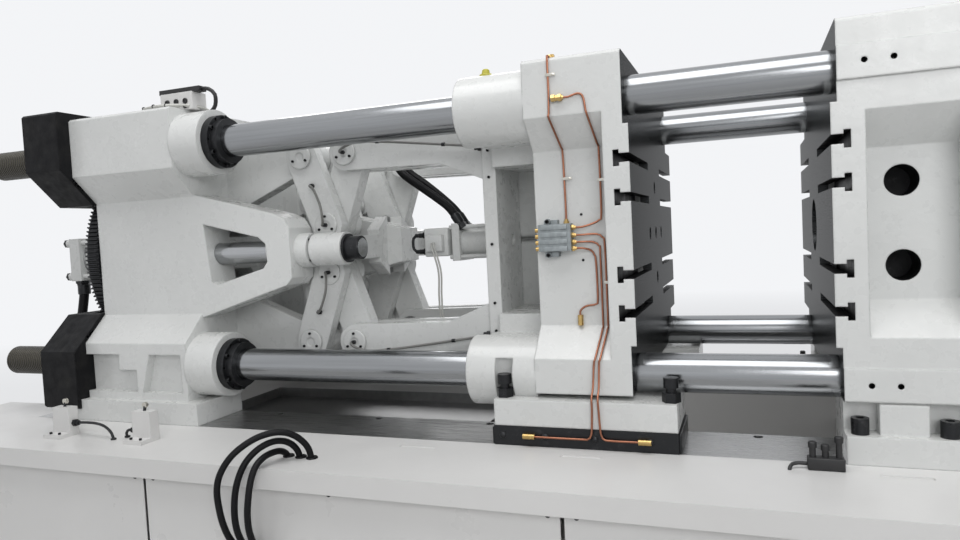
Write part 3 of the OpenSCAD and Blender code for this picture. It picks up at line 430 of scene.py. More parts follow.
def mix_finishes():
    """Makes every finish once"""
    bed = paint("bed")
    oxide = paint("oxide")
    pitch = detail("thread_pitch") / 1000
    FINISH.update({
        "cast_white": cast_paint("casting paint", paint("casting")),
        "sheet_white": sheet_paint("bed paint", bed),
        "panel_white": sheet_paint("panel paint", dimmed(bed, 1.03), 0.3),
        "motor_grey": sheet_paint("motor paint", (0.09, 0.10, 0.12), 0.42, 0.004),
        "cover_black": cast_black("nut cover paint", (0.007, 0.007, 0.008)),
        "tie_bar": threaded_bar("chromed tie bar", (0.33, 0.34, 0.35), pitch, THREAD_END / 1000),
        "guide_rod": ground_bar("chromed guide rod", (0.42, 0.43, 0.44), 0.13).mat,
        "ground": machined("ground steel", (0.55, 0.555, 0.56)),
        "mould_face": machined("ground mould face", (0.088, 0.092, 0.094), 0.27, (6, 260, 260), 0.6, 0.3),
        "rail": machined("rail steel", (0.42, 0.42, 0.42), 0.28, (8, 400, 8)),
        "tray": machined("tray sheet", (0.33, 0.33, 0.33), 0.42, (40, 40, 40)),
        "zinc": machined("zinc plating", (0.60, 0.58, 0.52), 0.33, (60, 60, 60)),
        "band": machined("heater band sheet", (0.52, 0.50, 0.46), 0.36, (9, 300, 9)),
        "oxide": black_steel("black oxide", oxide),
        "screw": black_steel("screw black", dimmed(oxide, 0.9), 0.36),
        # near-black insides of the platens' T-slots and side holes: painted shade of these recesses over
        # their bare steel
        "slot": black_steel("slot steel", (0.012, 0.012, 0.013), 0.5),
        "iron": cast_black("levelling iron", (0.03, 0.03, 0.03)),
        "copper": drawn_tube("copper tube", (0.37, 0.16, 0.10)),
        "brass": drawn_tube("brass fitting", (0.62, 0.43, 0.17), 0.26),
        "block": metering_block("metering block", (0.33, 0.36, 0.37)),
        "hose": hose_cover("hose rubber", paint("hose")),
        "cable": moulded("cable sheath", (0.02, 0.02, 0.022)),
        "white_cable": moulded("pale cable sheath", (0.55, 0.55, 0.52)),
        "grease_hose": moulded("grease hose", (0.20, 0.20, 0.19), 0.35),
        "black_cap": moulded("black plastic", (0.016, 0.016, 0.017), 0.5),
        "yellow_cap": moulded("yellow plastic", (0.50, 0.46, 0.06)),
        "barrel": tinted_barrel("barrel steel", (0.26, 0.25, 0.24)),
        "bright": brushed_sheet("hopper sheet", (0.62, 0.62, 0.62)),
    })


def finish_nodes():
    """Gives the CAD nodes their finishes and smooth shading"""
    finishes = {node: finish for finish, nodes in NODE_FINISHES.items() for node in nodes.split()}
    for row in ("upper", "lower"):
        finishes[f"elbow_pins_{row}"] = "ground"
        for kind in ("rear", "front", "small"):
            finishes[f"{kind}_links_{row}"] = "cast_white"
        for side in ("front", "rear"):
            finishes[f"tie_bar_{side}_{row}"] = "tie_bar"
            finishes[f"nut_{side}_{row}"] = "oxide"
    for name, finish in finishes.items():
        mesh = NODES[name].data
        mesh.materials.clear()
        mesh.materials.append(FINISH[finish])
    platen_faces(NODES["moving_platen"].data, MOVE_FACE, 1)
    platen_faces(NODES["fixed_platen"].data, FIXED_FACE, -1)
    duct_cover(NODES["junction_box"].data)
    for node in NODES.values():
        smooth_faces(node.data, 0.5)


def platen_faces(mesh, face, sign):
    """Bare ground mould face, corners and bores in a painted platen, with painted shade in its T-slots and
    holes, whose bare insides take a near-black finish
    """
    # dark is painted shade: the near-black finish inside the T-slots and the side holes
    painted, bare, dark = range(3)
    ground_depth = 16      # the ground face has no step deeper than this
    ground_foot = -442     # it is painted under this height
    slot_depth = 46
    slot_half = 23.5
    slot_end = 149         # slots start this far from the middle
    bore_reach = 300       # bores lie this near the middle
    mesh.materials.append(FINISH["mould_face"])
    # the near-black finish that paints the shade inside the T-slots and holes
    mesh.materials.append(FINISH["slot"])
    for poly in mesh.polygons:
        spots = [1000 * mesh.vertices[v].co - Vector((0, 0, AXIS)) for v in poly.vertices]
        depths = [(face - q.x) * sign for q in spots]
        lowest = min(q.z for q in spots)
        inmost = min(abs(q.y) for q in spots)
        farthest = max(max(abs(q.y), abs(q.z)) for q in spots)
        inside = -1 < min(depths) and max(depths) < ground_depth
        look = painted
        if poly.normal.x * sign > 0.9 and inside and lowest > ground_foot:
            look = bare
        elif abs(poly.normal.y) < 0.5 and max(depths) < slot_depth and inmost > slot_end:
            if any(all(abs(q.z - row) < slot_half for q in spots) for row in SLOT_ROWS):
                look = dark
        elif abs(poly.normal.x) < 0.1 and min(map(abs, depths)) < 1 and farthest < bore_reach:
            look = bare
        elif sign < 0:
            if any(all(math.hypot(q.x - x, q.z - z) < r for q in spots) for x, z, r in SIDE_HOLES):
                look = dark
        poly.material_index = look


def duct_cover(mesh):
    """Black cover over the pale junction box"""
    mesh.materials.append(FINISH["black_cap"])
    seam = (AXIS + TAIL_TOP + 60.5) / 1000
    for poly in mesh.polygons:
        if min(mesh.vertices[v].co.z for v in poly.vertices) > seam:
            poly.material_index = 1


# Shapes

def smooth_faces(mesh, angle):
    for poly in mesh.polygons:
        poly.use_smooth = True
    mesh.set_sharp_from_angle(angle=angle)


def spokes(count, start=0):
    """Cosine and sine at even steps round a circle, from a start in degrees"""
    angles = [math.radians(start + 360 * k / count) for k in range(count)]
    return [(math.cos(a), math.sin(a)) for a in angles]


def flipped(points, sy, sz):
    """The same places on one side of the machine and over or under its axis"""
    return [(x, sy * y, sz * z) for x, y, z in points]


def smooth_route(p, step):
    """A smooth line through places, with its own places about a step apart"""
    p = [2 * p[0] - p[1]] + p + [2 * p[-1] - p[-2]]
    line = []
    for a, b, c, d in zip(p, p[1:], p[2:], p[3:]):
        count = max(2, int((c - b).length / step))
        for t in (k / count for k in range(count)):
            bend = (2 * a - 5 * b + 4 * c - d) * t * t + (3 * b - a - 3 * c + d) * t ** 3
            line.append(0.5 * (2 * b + (c - a) * t + bend))
    line.append(p[-2])
    return line


class Shape:
    """Geometry of one piece, whose places are in millimetres, with z up from a level"""

    def __init__(self, level=AXIS):
        self.bm = bmesh.new()
        self.level = level

    def at(self, place):
        """A place in metres over the floor"""
        x, y, z = place
        return (x / 1000, y / 1000, (self.level + z) / 1000)

    def skin(self, rings, hollow=False):
        """Closed body through rings of places; a ring of one is a point, and a hollow body joins its ends"""
        rings = [[self.bm.verts.new(q) for q in ring] for ring in rings]
        for a, b in zip(rings, rings[1:] + rings[:1] if hollow else rings[1:]):
            for k in range(max(len(a), len(b))):
                corners = (a[k % len(a)], b[k % len(b)], b[(k + 1) % len(b)], a[(k + 1) % len(a)])
                self.bm.faces.new(tuple(dict.fromkeys(corners)))
        for ring in () if hollow else (rings[0], rings[-1]):
            if len(ring) > 2:
                self.bm.faces.new(ring)

    def lathe(self, profile, at, direction, sides, hollow=False):
        """Turned body of (height, radius) pairs along a direction"""
        turn = Vector(direction).to_track_quat("Z", "Y").to_matrix().to_4x4()
        place = Matrix.Translation(self.at(at)) @ turn
        circle = spokes(sides)
        rings = []
        for height, radius in profile:
            ring = [(radius * c, radius * s, height) for c, s in circle] if radius else [(0, 0, height)]
            rings.append([place @ (Vector(q) / 1000) for q in ring])
        self.skin(rings, hollow)

    def stepped(self, at, direction, steps, sides=6):
        """Fitting whose steps are given by the height of each one's end and its radius"""
        profile = []
        base = 0
        for height, radius in steps:
            profile += [(base, radius), (height, radius)]
            base = height
        self.lathe([*profile, (base, 0)], at, direction, sides)

    def disc(self, at, direction, radius, half, sides=12):
        """Disc whose middle is at a place"""
        self.lathe([(-half, 0), (-half, radius), (half, radius), (half, 0)], at, direction, sides)

    def band(self, at, direction, radii, heights, sides):
        """Ring of square section"""
        inner, outer = radii
        low, high = heights
        self.lathe([(low, inner), (low, outer), (high, outer), (high, inner)], at, direction, sides, True)

    def cap_screw(self, at, direction, d):
        """Socket head screw: head 1.5 d wide and d high, with its hexagon socket"""
        r = 0.75 * d
        s = 0.46 * d
        self.lathe([(0, r), (0.9 * d, r), (d, r - 0.08 * d), (d, s * 1.02)], at, direction, 20)
        self.lathe([(d, s), (0.45 * d, s), (0.40 * d, 0)], at, direction, 6)

    def bolt_circle(self, at, radius, count, start, d):
        """Socket head screws round a line along the row"""
        x, y, z = at
        for c, s in spokes(count, start):
            self.cap_screw((x, y + radius * c, z + radius * s), AHEAD, d)

    def hex_screw(self, at, direction, d, washer=True):
        """Hexagon head screw, mostly on a washer"""
        base = 0
        if washer:
            base = 0.18 * d
            self.lathe([(0, 1.05 * d), (0.16 * d, 1.05 * d), (base, d), (base, 0)], at, direction, 20)
        top = base + 0.62 * d
        self.lathe([(base, 0.92 * d), (base + 0.5 * d, 0.92 * d), (top, 0.8 * d), (top, 0)], at, direction, 6)

    def button(self, at, direction, d):
        """Domed head"""
        dome = [(0, 1), (0.2, 1), (0.4, 0.82), (0.62, 0.45), (0.68, 0)]
        self.lathe([(d * height, d * radius) for height, radius in dome], at, direction, 16)

    def plate(self, one, other, soft=0):
        """A block between two opposite corners, with its edges broken"""
        spans = [(min(pair), max(pair)) for pair in zip(self.at(one), self.at(other))]
        verts = bmesh.ops.create_cube(self.bm, size=1.0)["verts"]
        for v in verts:
            v.co = [low + (c + 0.5) * (high - low) for c, (low, high) in zip(v.co, spans)]
        if soft:
            edges = list({e for v in verts for e in v.link_edges})
            bmesh.ops.bevel(self.bm, geom=edges, offset=soft / 1000, segments=3, profile=0.5, affect="EDGES")

    def hose(self, points, d, sides, step=None):
        """Round tube through places, smoothed to a step or left straight between them, with no twist"""
        line = [Vector(self.at(q)) for q in points]
        if step:
            line = smooth_route(line, step / 1000)
        side = None
        rings = []
        for here, before, after in zip(line, line[:1] + line, line[1:] + line[-1:]):
            ahead = (after - before).normalized()
            if side is None:
                side = ahead.cross(Vector(UP if abs(ahead.z) < 0.9 else AHEAD)).normalized()
            side = (side - ahead * side.dot(ahead)).normalized()
            up = ahead.cross(side)
            rings.append([here + d / 2000 * (c * side + s * up) for c, s in spokes(sides)])
        self.skin(rings)

    def settle(self, name, body, finish, smooth=0.6, node=None):
        """Turns the geometry into a piece that rides on a body"""
        bmesh.ops.recalc_face_normals(self.bm, faces=self.bm.faces)
        mesh = bpy.data.meshes.new(name)
        self.bm.to_mesh(mesh)
        self.bm.free()
        piece = bpy.data.objects.new(name, mesh)
        bpy.context.scene.collection.objects.link(piece)
        mesh.materials.append(FINISH[finish])
        if smooth:
            smooth_faces(mesh, smooth)
        if body:
            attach(piece, body)
        if node:
            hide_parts(node)
        return piece


# Fasteners

def tail_fasteners():
    """Screws of the collars, guide bushes and clamp cylinder"""
    steel = Shape()
    for sy, sz in CORNERS:
        steel.bolt_circle((WEB_X + 148, sy * BAR_Y, sz * BAR_Z), 83, 6, 30, 10)
    for sy in SIDES:
        steel.bolt_circle((-1609.9, sy * GUIDE_Y, 0), 50, 4, 45, 6)
    for y, z in product((-75, 75), repeat=2):
        steel.hex_screw((TAIL_X - 575, y, z), BACK, 14)
    steel.settle("tail_fasteners", "tail", "screw")


def nut_cover_lips():
    """Thin edges of the black covers against the tail platen"""
    upper = [(290, 515.3), (290, 539), (566, 539), (574, 531), (574, 330), (525.4, 283), (525.4, 515.3)]
    lower = [(525.4, -283), (574, -330), (574, -504), (525.4, -504), (525.4, -479.7), (495.3, -479.7),
             (495.3, -345.3), (525.4, -345.3)]
    lips = Shape()
    for sy, outline in product(SIDES, (upper, lower)):
        lips.skin([[lips.at((TAIL_X + x, sy * y, z)) for y, z in outline] for x in (0.2, 2.2)])
    lips.settle("nut_cover_lips", "tail", "cover_black", 0)


def platen_fasteners():
    """Screws of the moving platen's ears, slide shoes and ejector cylinder"""
    steel = Shape()
    for z, sy in product((-270, -160, 160, 270), SIDES):
        steel.cap_screw((HUB_END, sy * 235, z), BACK, 14)
    for sy, x in product(SIDES, (-885, -760, -620, -470)):
        steel.button((x, sy * 560, RAIL - AXIS + 28.5), (0, sy, 0), 10)
    for y, z in product((-78, 78), repeat=2):
        steel.cap_screw((HUB_END - 22, y, z), BACK, 12)
    steel.settle("platen_fasteners", "moving", "screw")


def bed_fasteners():
    """Screws of the slide rails and side panels"""
    steel = Shape(RAIL)
    for sy in SIDES:
        for i in range(7):
            steel.cap_screw((-2600 + 400 * i, sy * 354, -10.5), UP, 9.8)
        for panel, x, z in product(PANELS, (35, 642, 1249), (130, 630)):
            steel.button((panel + x, sy * PANEL_Y, z - RAIL), (0, sy, 0), 7)
    steel.settle("bed_fasteners", "bed", "screw")


# Toggle

BANJO = [(12, 7.5), (24, 5.5)]


def pin_keepers():
    """Discs with three screws over the ends of the toggle's pins"""
    pins = {
        "tail": [(REAR_PIN_X, 294, PIN_Z), (REAR_PIN_X, 294, -PIN_Z)],
        "moving": [(FRONT_PIN_X, 294, PIN_Z), (FRONT_PIN_X, 294, -PIN_Z)],
        "rear_link_upper": [(ELBOW_X, 290, ELBOW_Z)],
        "rear_link_lower": [(ELBOW_X, 290, -ELBOW_Z)],
    }
    section = [(0, 44), (5, 44), (7, 42), (7, 16), (4, 14), (4, 0)]
    for body, spots in pins.items():
        discs = Shape()
        screws = Shape()
        for (x, y, z), sy in product(spots, SIDES):
            discs.lathe(section, (x, sy * y, z), (0, sy, 0), 40)
            for c, s in spokes(3, 90):
                screws.cap_screw((x + 30 * c, sy * (y + 6.8), z + 30 * s), (0, sy, 0), 6)
        discs.settle(f"pin_keepers_{body}", body, "cast_white", 0.5)
        screws.settle(f"keeper_screws_{body}", body, "screw", 0.5)


def link_hoses():
    """From the elbow's pin up the outside of a rear link to a banjo beside its eye"""
    route = [(ELBOW_X, 312, ELBOW_Z), (ELBOW_X, 316, ELBOW_Z), (-1588, 334, 105), (-1590, 340, 150),
             (-1618, 330, 205), (-1640, 316, 222), (-1648, 304, 224)]
    for row, sz in (("upper", 1), ("lower", -1)):
        tubes = Shape()
        ends = Shape()
        for sy in SIDES:
            tubes.hose(flipped(route, sy, sz), detail("grease_hose"), 10, 10)
            ends.stepped((ELBOW_X, sy * 294, sz * ELBOW_Z), (0, sy, 0), BANJO)
            ends.stepped((-1648, sy * 290, sz * 224), (0, sy, 0), [(10, 9), (18, 5.8)])
        tubes.settle(f"grease_hoses_{row}", f"rear_link_{row}", "grease_hose", 1.0)
        ends.settle(f"grease_ends_{row}", f"rear_link_{row}", "screw", 0.5)


def ear_hoses():
    """From each front toggle pin over the platen's long ear to its rear plate"""
    route = [(FRONT_PIN_X, 316, PIN_Z), (FRONT_PIN_X, 324, PIN_Z), (-1490, 341, 338), (-1440, 344, 352),
             (-1360, 330, 350), (-1250, 314, 338), (-1130, 308, 322), (-1045, 306, 310), (-1012, 300, 300)]
    tubes = Shape()
    ends = Shape()
    for sy, sz in CORNERS:
        line = flipped(route, sy, sz)
        tubes.hose(line, detail("grease_hose"), 10, 14)
        ends.stepped((FRONT_PIN_X, sy * 298, sz * PIN_Z), (0, sy, 0), BANJO)
        ends.lathe([(0, 10), (10, 10), (12, 6), (22, 6), (22, 0)], (HUB_END, sy * 300, sz * 300), BACK, 6)
        for clip in (line[4], line[6]):
            ends.disc(clip, (1, 0, -0.05 * sz), 6.2, 6)
    tubes.settle("ear_grease_hoses", "moving", "grease_hose", 1.0)
    ends.settle("ear_grease_ends", "moving", "screw", 0.5)


# Ejector

def ejector_valve_box():
    box = Shape()
    box.plate((-1330, -66, -50), (-1234.5, 66, 55), 6)
    box.plate((-1318, -88, -32), (-1250, -64, 30), 4)
    box.settle("ejector_valve_box", "moving", "cast_white", 0.5)


def ejector_fittings():
    """Two plugs with the loop between them, and the unions of the two hoses"""
    dark = Shape()
    for z in (-30, 30):
        plug = (-1330, -40, z)
        dark.lathe([(0, 13), (12, 13), (12, 10), (18, 10)], plug, BACK, 6)
        dark.lathe([(17, 9), (30, 9), (31, 7.5), (46, 7.5), (46, 0)], plug, BACK, 18)
    loop = [(-1372, -40, 30), (-1384, -42, 20), (-1386, -44, 0), (-1384, -42, -20), (-1372, -40, -30)]
    dark.hose(loop, 11, 12, 6)
    tilt = (-0.55, 0, 0.85)
    for y in (-52, -8):
        dark.lathe([(-4, 19), (16, 19), (18, 16.5), (20, 16.5)], (-1178, y, 52), tilt, 6)
        dark.lathe([(18, 17.2), (56, 17.6), (58, 16.5), (58, 0)], (-1178, y, 52), tilt, 20)
    dark.settle("ejector_fittings", "moving", "screw", 0.5)


def ejector_hoses():
    thick = Shape()
    for y, lift in ((-52, 0), (-8, 12)):
        thick.hose([(-1203, y, 91), (-1217, y, 111), (-1238, y - 1, 135), (-1282, y - 4, 170 + lift / 2),
                    (-1340, y - 4, 212 + lift), (-1408, y + 2, 262 + lift), (-1436, y + 12, 306 + lift),
                    (-1418, y + 22, 350 + lift), (-1362, y + 30, 372 + lift), (-1280, y + 34, 366 + lift),
                    (-1180, y + 36, 334 + lift / 2), (-1080, y + 36, 302), (HUB_END, y + 36, 290)],
                   30, 16, 16)
    thick.settle("ejector_hoses", "moving", "hose", 1.0)


def ejector_cables():
    pale = Shape()
    for gap in (0, 10):
        pale.hose([(-1290 + gap, -88, 0), (-1286 + gap, -104, -10), (-1270 + gap, -112, -50),
                   (-1258 + gap, -112, -110), (-1262 + gap, -110, -200), (-1256 + gap, -108, -285),
                   (-1200 + gap, -108, -325 - gap), (-1100, -108, -300 - gap), (HUB_END, -108, -280 - gap)],
                  6.5, 10, 12)
    pale.settle("ejector_cables", "moving", "white_cable", 1.0)


# Tail platen

def tail_cables():
    """Pale cables over the tail platen's top"""
    pale = Shape(AXIS + TAIL_TOP)
    pale.hose([(-2245, -392, 16), (-2230, -440, 10), (-2190, -490, 7), (-2130, -506, 7), (-2085, -496, 9),
               (-2045, -450, 12), (-2010, -392, 6), (-1996, -366, -20), (-1992, -352, -50),
               (-2000, -345, -75), (-2022, -345, -82)], 11, 12, 10)
    pale.hose([(-2245, -380, 16), (-2205, -420, 21), (-2170, -446, 19), (-2110, -456, 10),
               (-2070, -450, 8)], 8, 10, 10)
    pale.settle("tail_cables", "tail", "white_cable", 1.0)


def tail_glands():
    """Glands and clips of the cables, and the junction box's caps and own cable"""
    dark = Shape(AXIS + TAIL_TOP)
    gland = [(0, 17), (10, 17), (12, 14), (22, 12), (26, 8), (26, 0)]
    dark.lathe(gland, (-2258, -386, 18), (0.85, -0.4, 0.05), 14)
    dark.stepped((-2050, -345, -82), AHEAD, [(14, 11), (26, 8)])
    for x in (-2130, -2090, -2050):
        dark.lathe([(0, 9.5), (4, 9.5), (4.5, 6), (2, 5.5), (2, 0)], (x, -440, 30), NEAR, 18)
    for x, y in ((-2190, -490), (-2130, -506), (-2085, -496), (-2045, -450)):
        dark.disc((x, y, 9), (1, -0.1, 0), 7.2, 2)
    dark.hose([(-1992, -418, 70), (-1965, -417, 66), (-1945, -410, 45), (-1955, -400, 10),
               (-1985, -392, -10), (-2012, -385, -14), (-2050, -380, -16)], 14, 12, 10)
    dark.settle("tail_glands", "tail", "black_cap")


def cylinder_dress():
    """Tie rod nuts, ports, plugs and seal rings of the clamp cylinder"""
    head = TAIL_X - 560
    dark = Shape()
    nut = [(0, 20), (0.5, 20), (0.5, 18.5), (14, 18.5), (16, 17), (16, 11)]
    for y, z in product((-75, 75), repeat=2):
        dark.lathe(nut, (head - 23.5, y, z), BACK, 6)
    for x, r in ((head + 30, 28), (TAIL_X - 30, 19)):
        dark.lathe([(0, r * 1.15), (12, r * 1.15), (13, r), (20, r)], (x, -60, -95), DOWN, 6)
        dark.lathe([(19, r * 0.94), (60, r * 0.94), (62, r * 0.85)], (x, -60, -95), DOWN, 22)
    dark.lathe([(0, 18), (10, 18), (12, 16), (12, 8), (6, 7), (6, 0)], (head + 30, 30, 95), UP, 6)
    for y in (-60, 60):
        dark.stepped((TAIL_X - 30, y, 95), UP, [(8, 10), (4, 5)])
    dark.settle("cylinder_fittings", "tail", "screw", 0.5)
    bright = Shape()
    for x in (head + 60, TAIL_X - 68):
        bright.band((x, 0, 0), AHEAD, (75, 78.5), (0, 8), 64)
    bright.settle("cylinder_seal_rings", "tail", "ground", 0.5)


def motor_ribs():
    """Cooling ribs and terminal box of the mould height motor"""
    rear = TAIL_X - 318
    front = TAIL_X - 115
    ribs = Shape(AXIS + MOTOR_Z)
    for c, s in spokes(24):
        edges = ((rear, -1.8), (rear, 1.8), (front, 1.8), (front, -1.8))
        ribs.skin([[ribs.at((x, r * c - w * s, r * s + w * c)) for x, w in edges] for r in (64, 71.5)])
    ribs.plate((-2790, -118, -30), (-2700, -60, 34), 5)
    ribs.settle("motor_ribs", "tail", "motor_grey", 0.4)


def motor_cable():
    """The motor's screws, its gland and the cable into the tail platen"""
    dark = Shape(AXIS + MOTOR_Z)
    for y, z in product((-50, 50), (-44, 44)):
        dark.cap_screw((TAIL_X - 95.5, y, z), AHEAD, 6)
    dark.stepped((-2790, -90, 0), BACK, [(10, 11), (24, 8)])
    dark.hose([(-2812, -90, 0), (-2835, -92, -4), (-2850, -94, -30), (-2850, -85, -70), (-2815, -75, -110),
               (-2740, -70, -122), (-2640, -66, -118), (-2560, -66, -116), (TAIL_X, -66, -116)], 10, 10, 12)
    dark.settle("motor_cable", "tail", "cable")


def cover_screws():
    bright = Shape()
    for (sy, sz), (y, z) in product(CORNERS, ((315, 470), (535, 480), (520, 345), (330, 235))):
        bright.cap_screw((TAIL_X - 170, sy * y, sz * z), BACK, 8)
    bright.settle("cover_screws", "tail", "zinc", 0.5)


# Bed

def switch_fittings():
    """Screws, plungers, glands, cables and rollers of the limit switches"""
    switches = (-2430, -2080)
    y = 168 - BED_HALF
    dark = Shape(RAIL)
    for x in switches:
        for dx in (18, 57):
            dark.cap_screw((x + dx, y - 43, 12), UP, 6)
        dark.stepped((x + 38, y, 95), (0, 0.2, 1), [(14, 5)], 10)
    leads = {
        (-2080, -1): [(18, 0, 30), (36, 0, 28), (50, 4, 16), (56, 12, 4), (58, 14, -6)],
        (-2355, 1): [(18, 0, 42), (50, -2, 45), (100, -6, 46), (145, -12, 41), (178, -17, 26), (192, -20, 8),
                     (194, -20, -6)],
    }
    for (x, side), lead in leads.items():
        line = [(x + side * dx, y + dy, z) for dx, dy, z in lead]
        dark.stepped((x, y, lead[0][2]), (side, 0, 0), [(12, 12), (22, 9)])
        dark.hose(line, 9, 12, 6)
        dark.lathe([(0, 9), (4, 9), (5, 7.5), (5, 4)], (*line[-1][:2], 0), UP, 16)
    dark.settle("switch_fittings", "bed", "screw", 0.5)
    rollers = Shape(RAIL)
    for x in switches:
        rollers.disc((x + 38, y + 4, 113), (0, 1, 0), 9, 5, 20)
    rollers.settle("switch_rollers", "bed", "zinc", 0.5)


def louvres():
    """Vent slats and turn latches of the side panels"""
    slat = ((856, 14), (857.5, 13), (862.5, -1), (861, -0.5))
    latch = [(0, 17), (4, 17), (6, 14), (6, 10), (2, 9), (2, 0)]
    slats = Shape(FLOOR)
    latches = Shape(FLOOR)
    for sy, panel in product(SIDES, PANELS):
        for k, j in product(range(4), range(6)):
            x = panel + 298.5 + 60 * k
            z = 186 + 24.5 * j
            slats.skin([[slats.at((end, sy * y, z + dz)) for y, dz in slat] for end in (x, x + 33)])
        for x in (panel + 90, panel + 1194):
            latches.lathe(latch, (x, sy * PANEL_Y, 385), (0, sy, 0), 24)
            latches.plate((x - 2.5, sy * 859.5, 376), (x + 2.5, sy * 865.5, 394), 0.8)
    slats.settle("panel_louvres", "bed", "panel_white", 0.4)
    latches.settle("panel_latches", "bed", "black_cap", 0.5)


def closing_stops():
    """Plunger blocks that the moving platen meets, with their cables into the bed"""
    dark = Shape(RAIL)
    for sy in SIDES:
        y = sy * 604
        dark.plate((-92, y - 16, 0), (-10, y + 16, 30), 3)
        for x, h in ((-80, 36), (-52, 30), (-22, 50)):
            plunger = [(0, 7.5), (h - 12, 7.5), (h - 12, 10), (h, 10), (h + 2, 8), (h + 2, 0)]
            dark.lathe(plunger, (x, y, 29), UP, 14)
        dark.hose([(-92, y, 12), (-112, y, 12), (-126, y + 6 * sy, 10), (-132, y + 16 * sy, 4),
                   (-133, y + 20 * sy, -4)], 9, 10, 5)
    dark.settle("closing_stops", "bed", "black_cap", 0.5)


def bed_welds():
    """Beads along the bed frame's posts and under its top plates"""
    beads = Shape(FLOOR)
    for sy in SIDES:
        for post, side in product((-3190, -2200, -1150, 0, 1150, 2200, 3170), (0, 20)):
            ripple = [85 + 11 * k + 1.5 * math.sin(7.1 * k) for k in range(52)]
            beads.hose([(post + side, sy * 554.5, z) for z in ripple], 7, 6)
        ripple = [(-3200 + 50 * k, 660.5 + 0.6 * math.sin(5.3 * k)) for k in range(129)]
        beads.hose([(x, sy * 852.5, z) for x, z in ripple], 6, 6)
    beads.settle("bed_welds", "bed", "sheet_white", 1.2)


# Platens

MANIFOLD_Y = -451      # pipes on the moving platen's recessed side
UNION = [(0, 8.5), (6, 8.5), (6, 6.2), (12, 5), (12, 3)]


def hub_plugs():
    plugs = Shape()
    section = [(-4, 20), (4, 20), (6, 18), (6, 13), (18, 11), (21, 8), (21, 0)]
    for sy in SIDES:
        plugs.lathe(section, (-930, sy * BAR_Y, BAR_Z + 104), UP, 28)
    plugs.settle("hub_plugs", "moving", "yellow_cap", 0.5)


def platen_dark_details():
    """Lifting plugs, shoe wipers and small screws of the moving platen"""
    dark = Shape()
    for y in (-280, 280):
        dark.cap_screw((-650, y, 498.5), UP, 20)
    shoe = RAIL - AXIS
    for sy, x in product(SIDES, (-917, -396)):
        dark.plate((x, sy * 336, shoe + 1), (x + 6, sy * 557, shoe + 50), 1.5)
    for z in (-46, 50):
        dark.cap_screw((-747, -478.5, z), NEAR, 8)
    for z in (-65, 66):
        dark.button((-655, -445, z), NEAR, 4)
    for sy, z in product(SIDES, (-290, -200, -10, 205, 290)):
        dark.cap_screw((-981, sy * 299.5, z), (0, sy, 0), 6)
    dark.settle("platen_dark_details", "moving", "screw", 0.5)


def block_ribs():
    """Raised metering elements on the distributor block"""
    ribs = Shape()
    for k in range(4):
        z = -30 + 20.5 * k
        ribs.plate((-768, -486.5, z - 6), (-690, -482.5, z + 8), 1.5)
    ribs.settle("block_ribs", "moving", "block", 0.4)


def brass_unions():
    brass = Shape()
    for z in (30, 8, -12, -30):
        brass.lathe(UNION, (-679.5, MANIFOLD_Y - 14, z), AHEAD, 6)
    brass.lathe(UNION, (-698, MANIFOLD_Y, 42.5), UP, 6)
    tee = [(0, 10.5), (10, 10.5), (12, 8.5), (20, 8.5), (20, 10.5), (28, 10.5), (30, 6), (34, 4)]
    brass.lathe(tee, (-704, -538.5, 385), AHEAD, 6)
    brass.settle("brass_unions", "moving", "brass", 0.4)


def pipe_clips():
    places = [(-712, -535, 450), (-698, MANIFOLD_Y, 170), (-596, MANIFOLD_Y, 160), (-590, MANIFOLD_Y, -130)]
    clips = Shape()
    for x, y, z in places:
        clips.plate((x - 6, y - 5.2, z - 4), (x + 22, y - 3.6, z + 4), 0.6)
        clips.button((x + 15, y - 3.6, z), NEAR, 4.2)
    clips.settle("pipe_clips", "moving", "zinc", 0.4)


def fixed_platen_screws():
    """Lifting plugs, rear screws and tie bar end screws of the fixed platen"""
    steel = Shape()
    for y in (-280, 280):
        steel.cap_screw((160, y, 498.5), UP, 20)
    for sy in SIDES:
        for z in (-250, 250):
            steel.cap_screw((FIXED_BACK - 0.5, sy * 230, z), AHEAD, 16)
        for sz in SIDES:
            steel.bolt_circle((FIXED_BACK + 84.5, sy * BAR_Y, sz * BAR_Z), 74, 6, 30, 10)
    steel.settle("fixed_platen_screws", "bed", "screw", 0.5)


# Injection unit

BANDS = [760 + 132 * i for i in range(5)]      # low x edges of the heater bands
HOPPER_X = 1590


def band_dress():
    """Clamps, plugs and leads of the heater bands"""
    low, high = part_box("heater_bands")
    radius = 500 * (high.y - low.y)
    clamps = Shape()
    plugs = Shape()
    leads = Shape()
    for i, band in enumerate(BANDS):
        for x in (band + 24, band + 86):
            for sy in SIDES:
                clamps.plate((x - 7, sy * 4, radius - 3), (x + 7, sy * 12, radius + 16), 1)
            clamps.hex_screw((x, -12, radius + 9), NEAR, 4, False)
            clamps.stepped((x, -12, radius + 9), (0, 1, 0), [(24, 2.5)], 10)
        plugs.plate((band + 34, -radius - 30, -16), (band + 76, 4 - radius, 16), 4)
        bundle = 5 * i - 124
        leads.hose([(band + 55, -radius - 28, -4), (band + 56, -radius - 46, -8),
                    (band + 62, -radius - 58, -40), (band + 80, -radius - 56, -90),
                    (band + 120, -radius - 52, -118), (1300, -radius - 50 - 2 * i, bundle),
                    (1400, -130, bundle - 2), (1475, -120, bundle - 2)], 6.5, 8, 16)
    clamps.settle("band_clamps", "carriage", "zinc", 0.4)
    plugs.settle("heater_plugs", "carriage", "black_cap", 0.4)
    leads.settle("heater_leads", "carriage", "white_cable", 1.0)


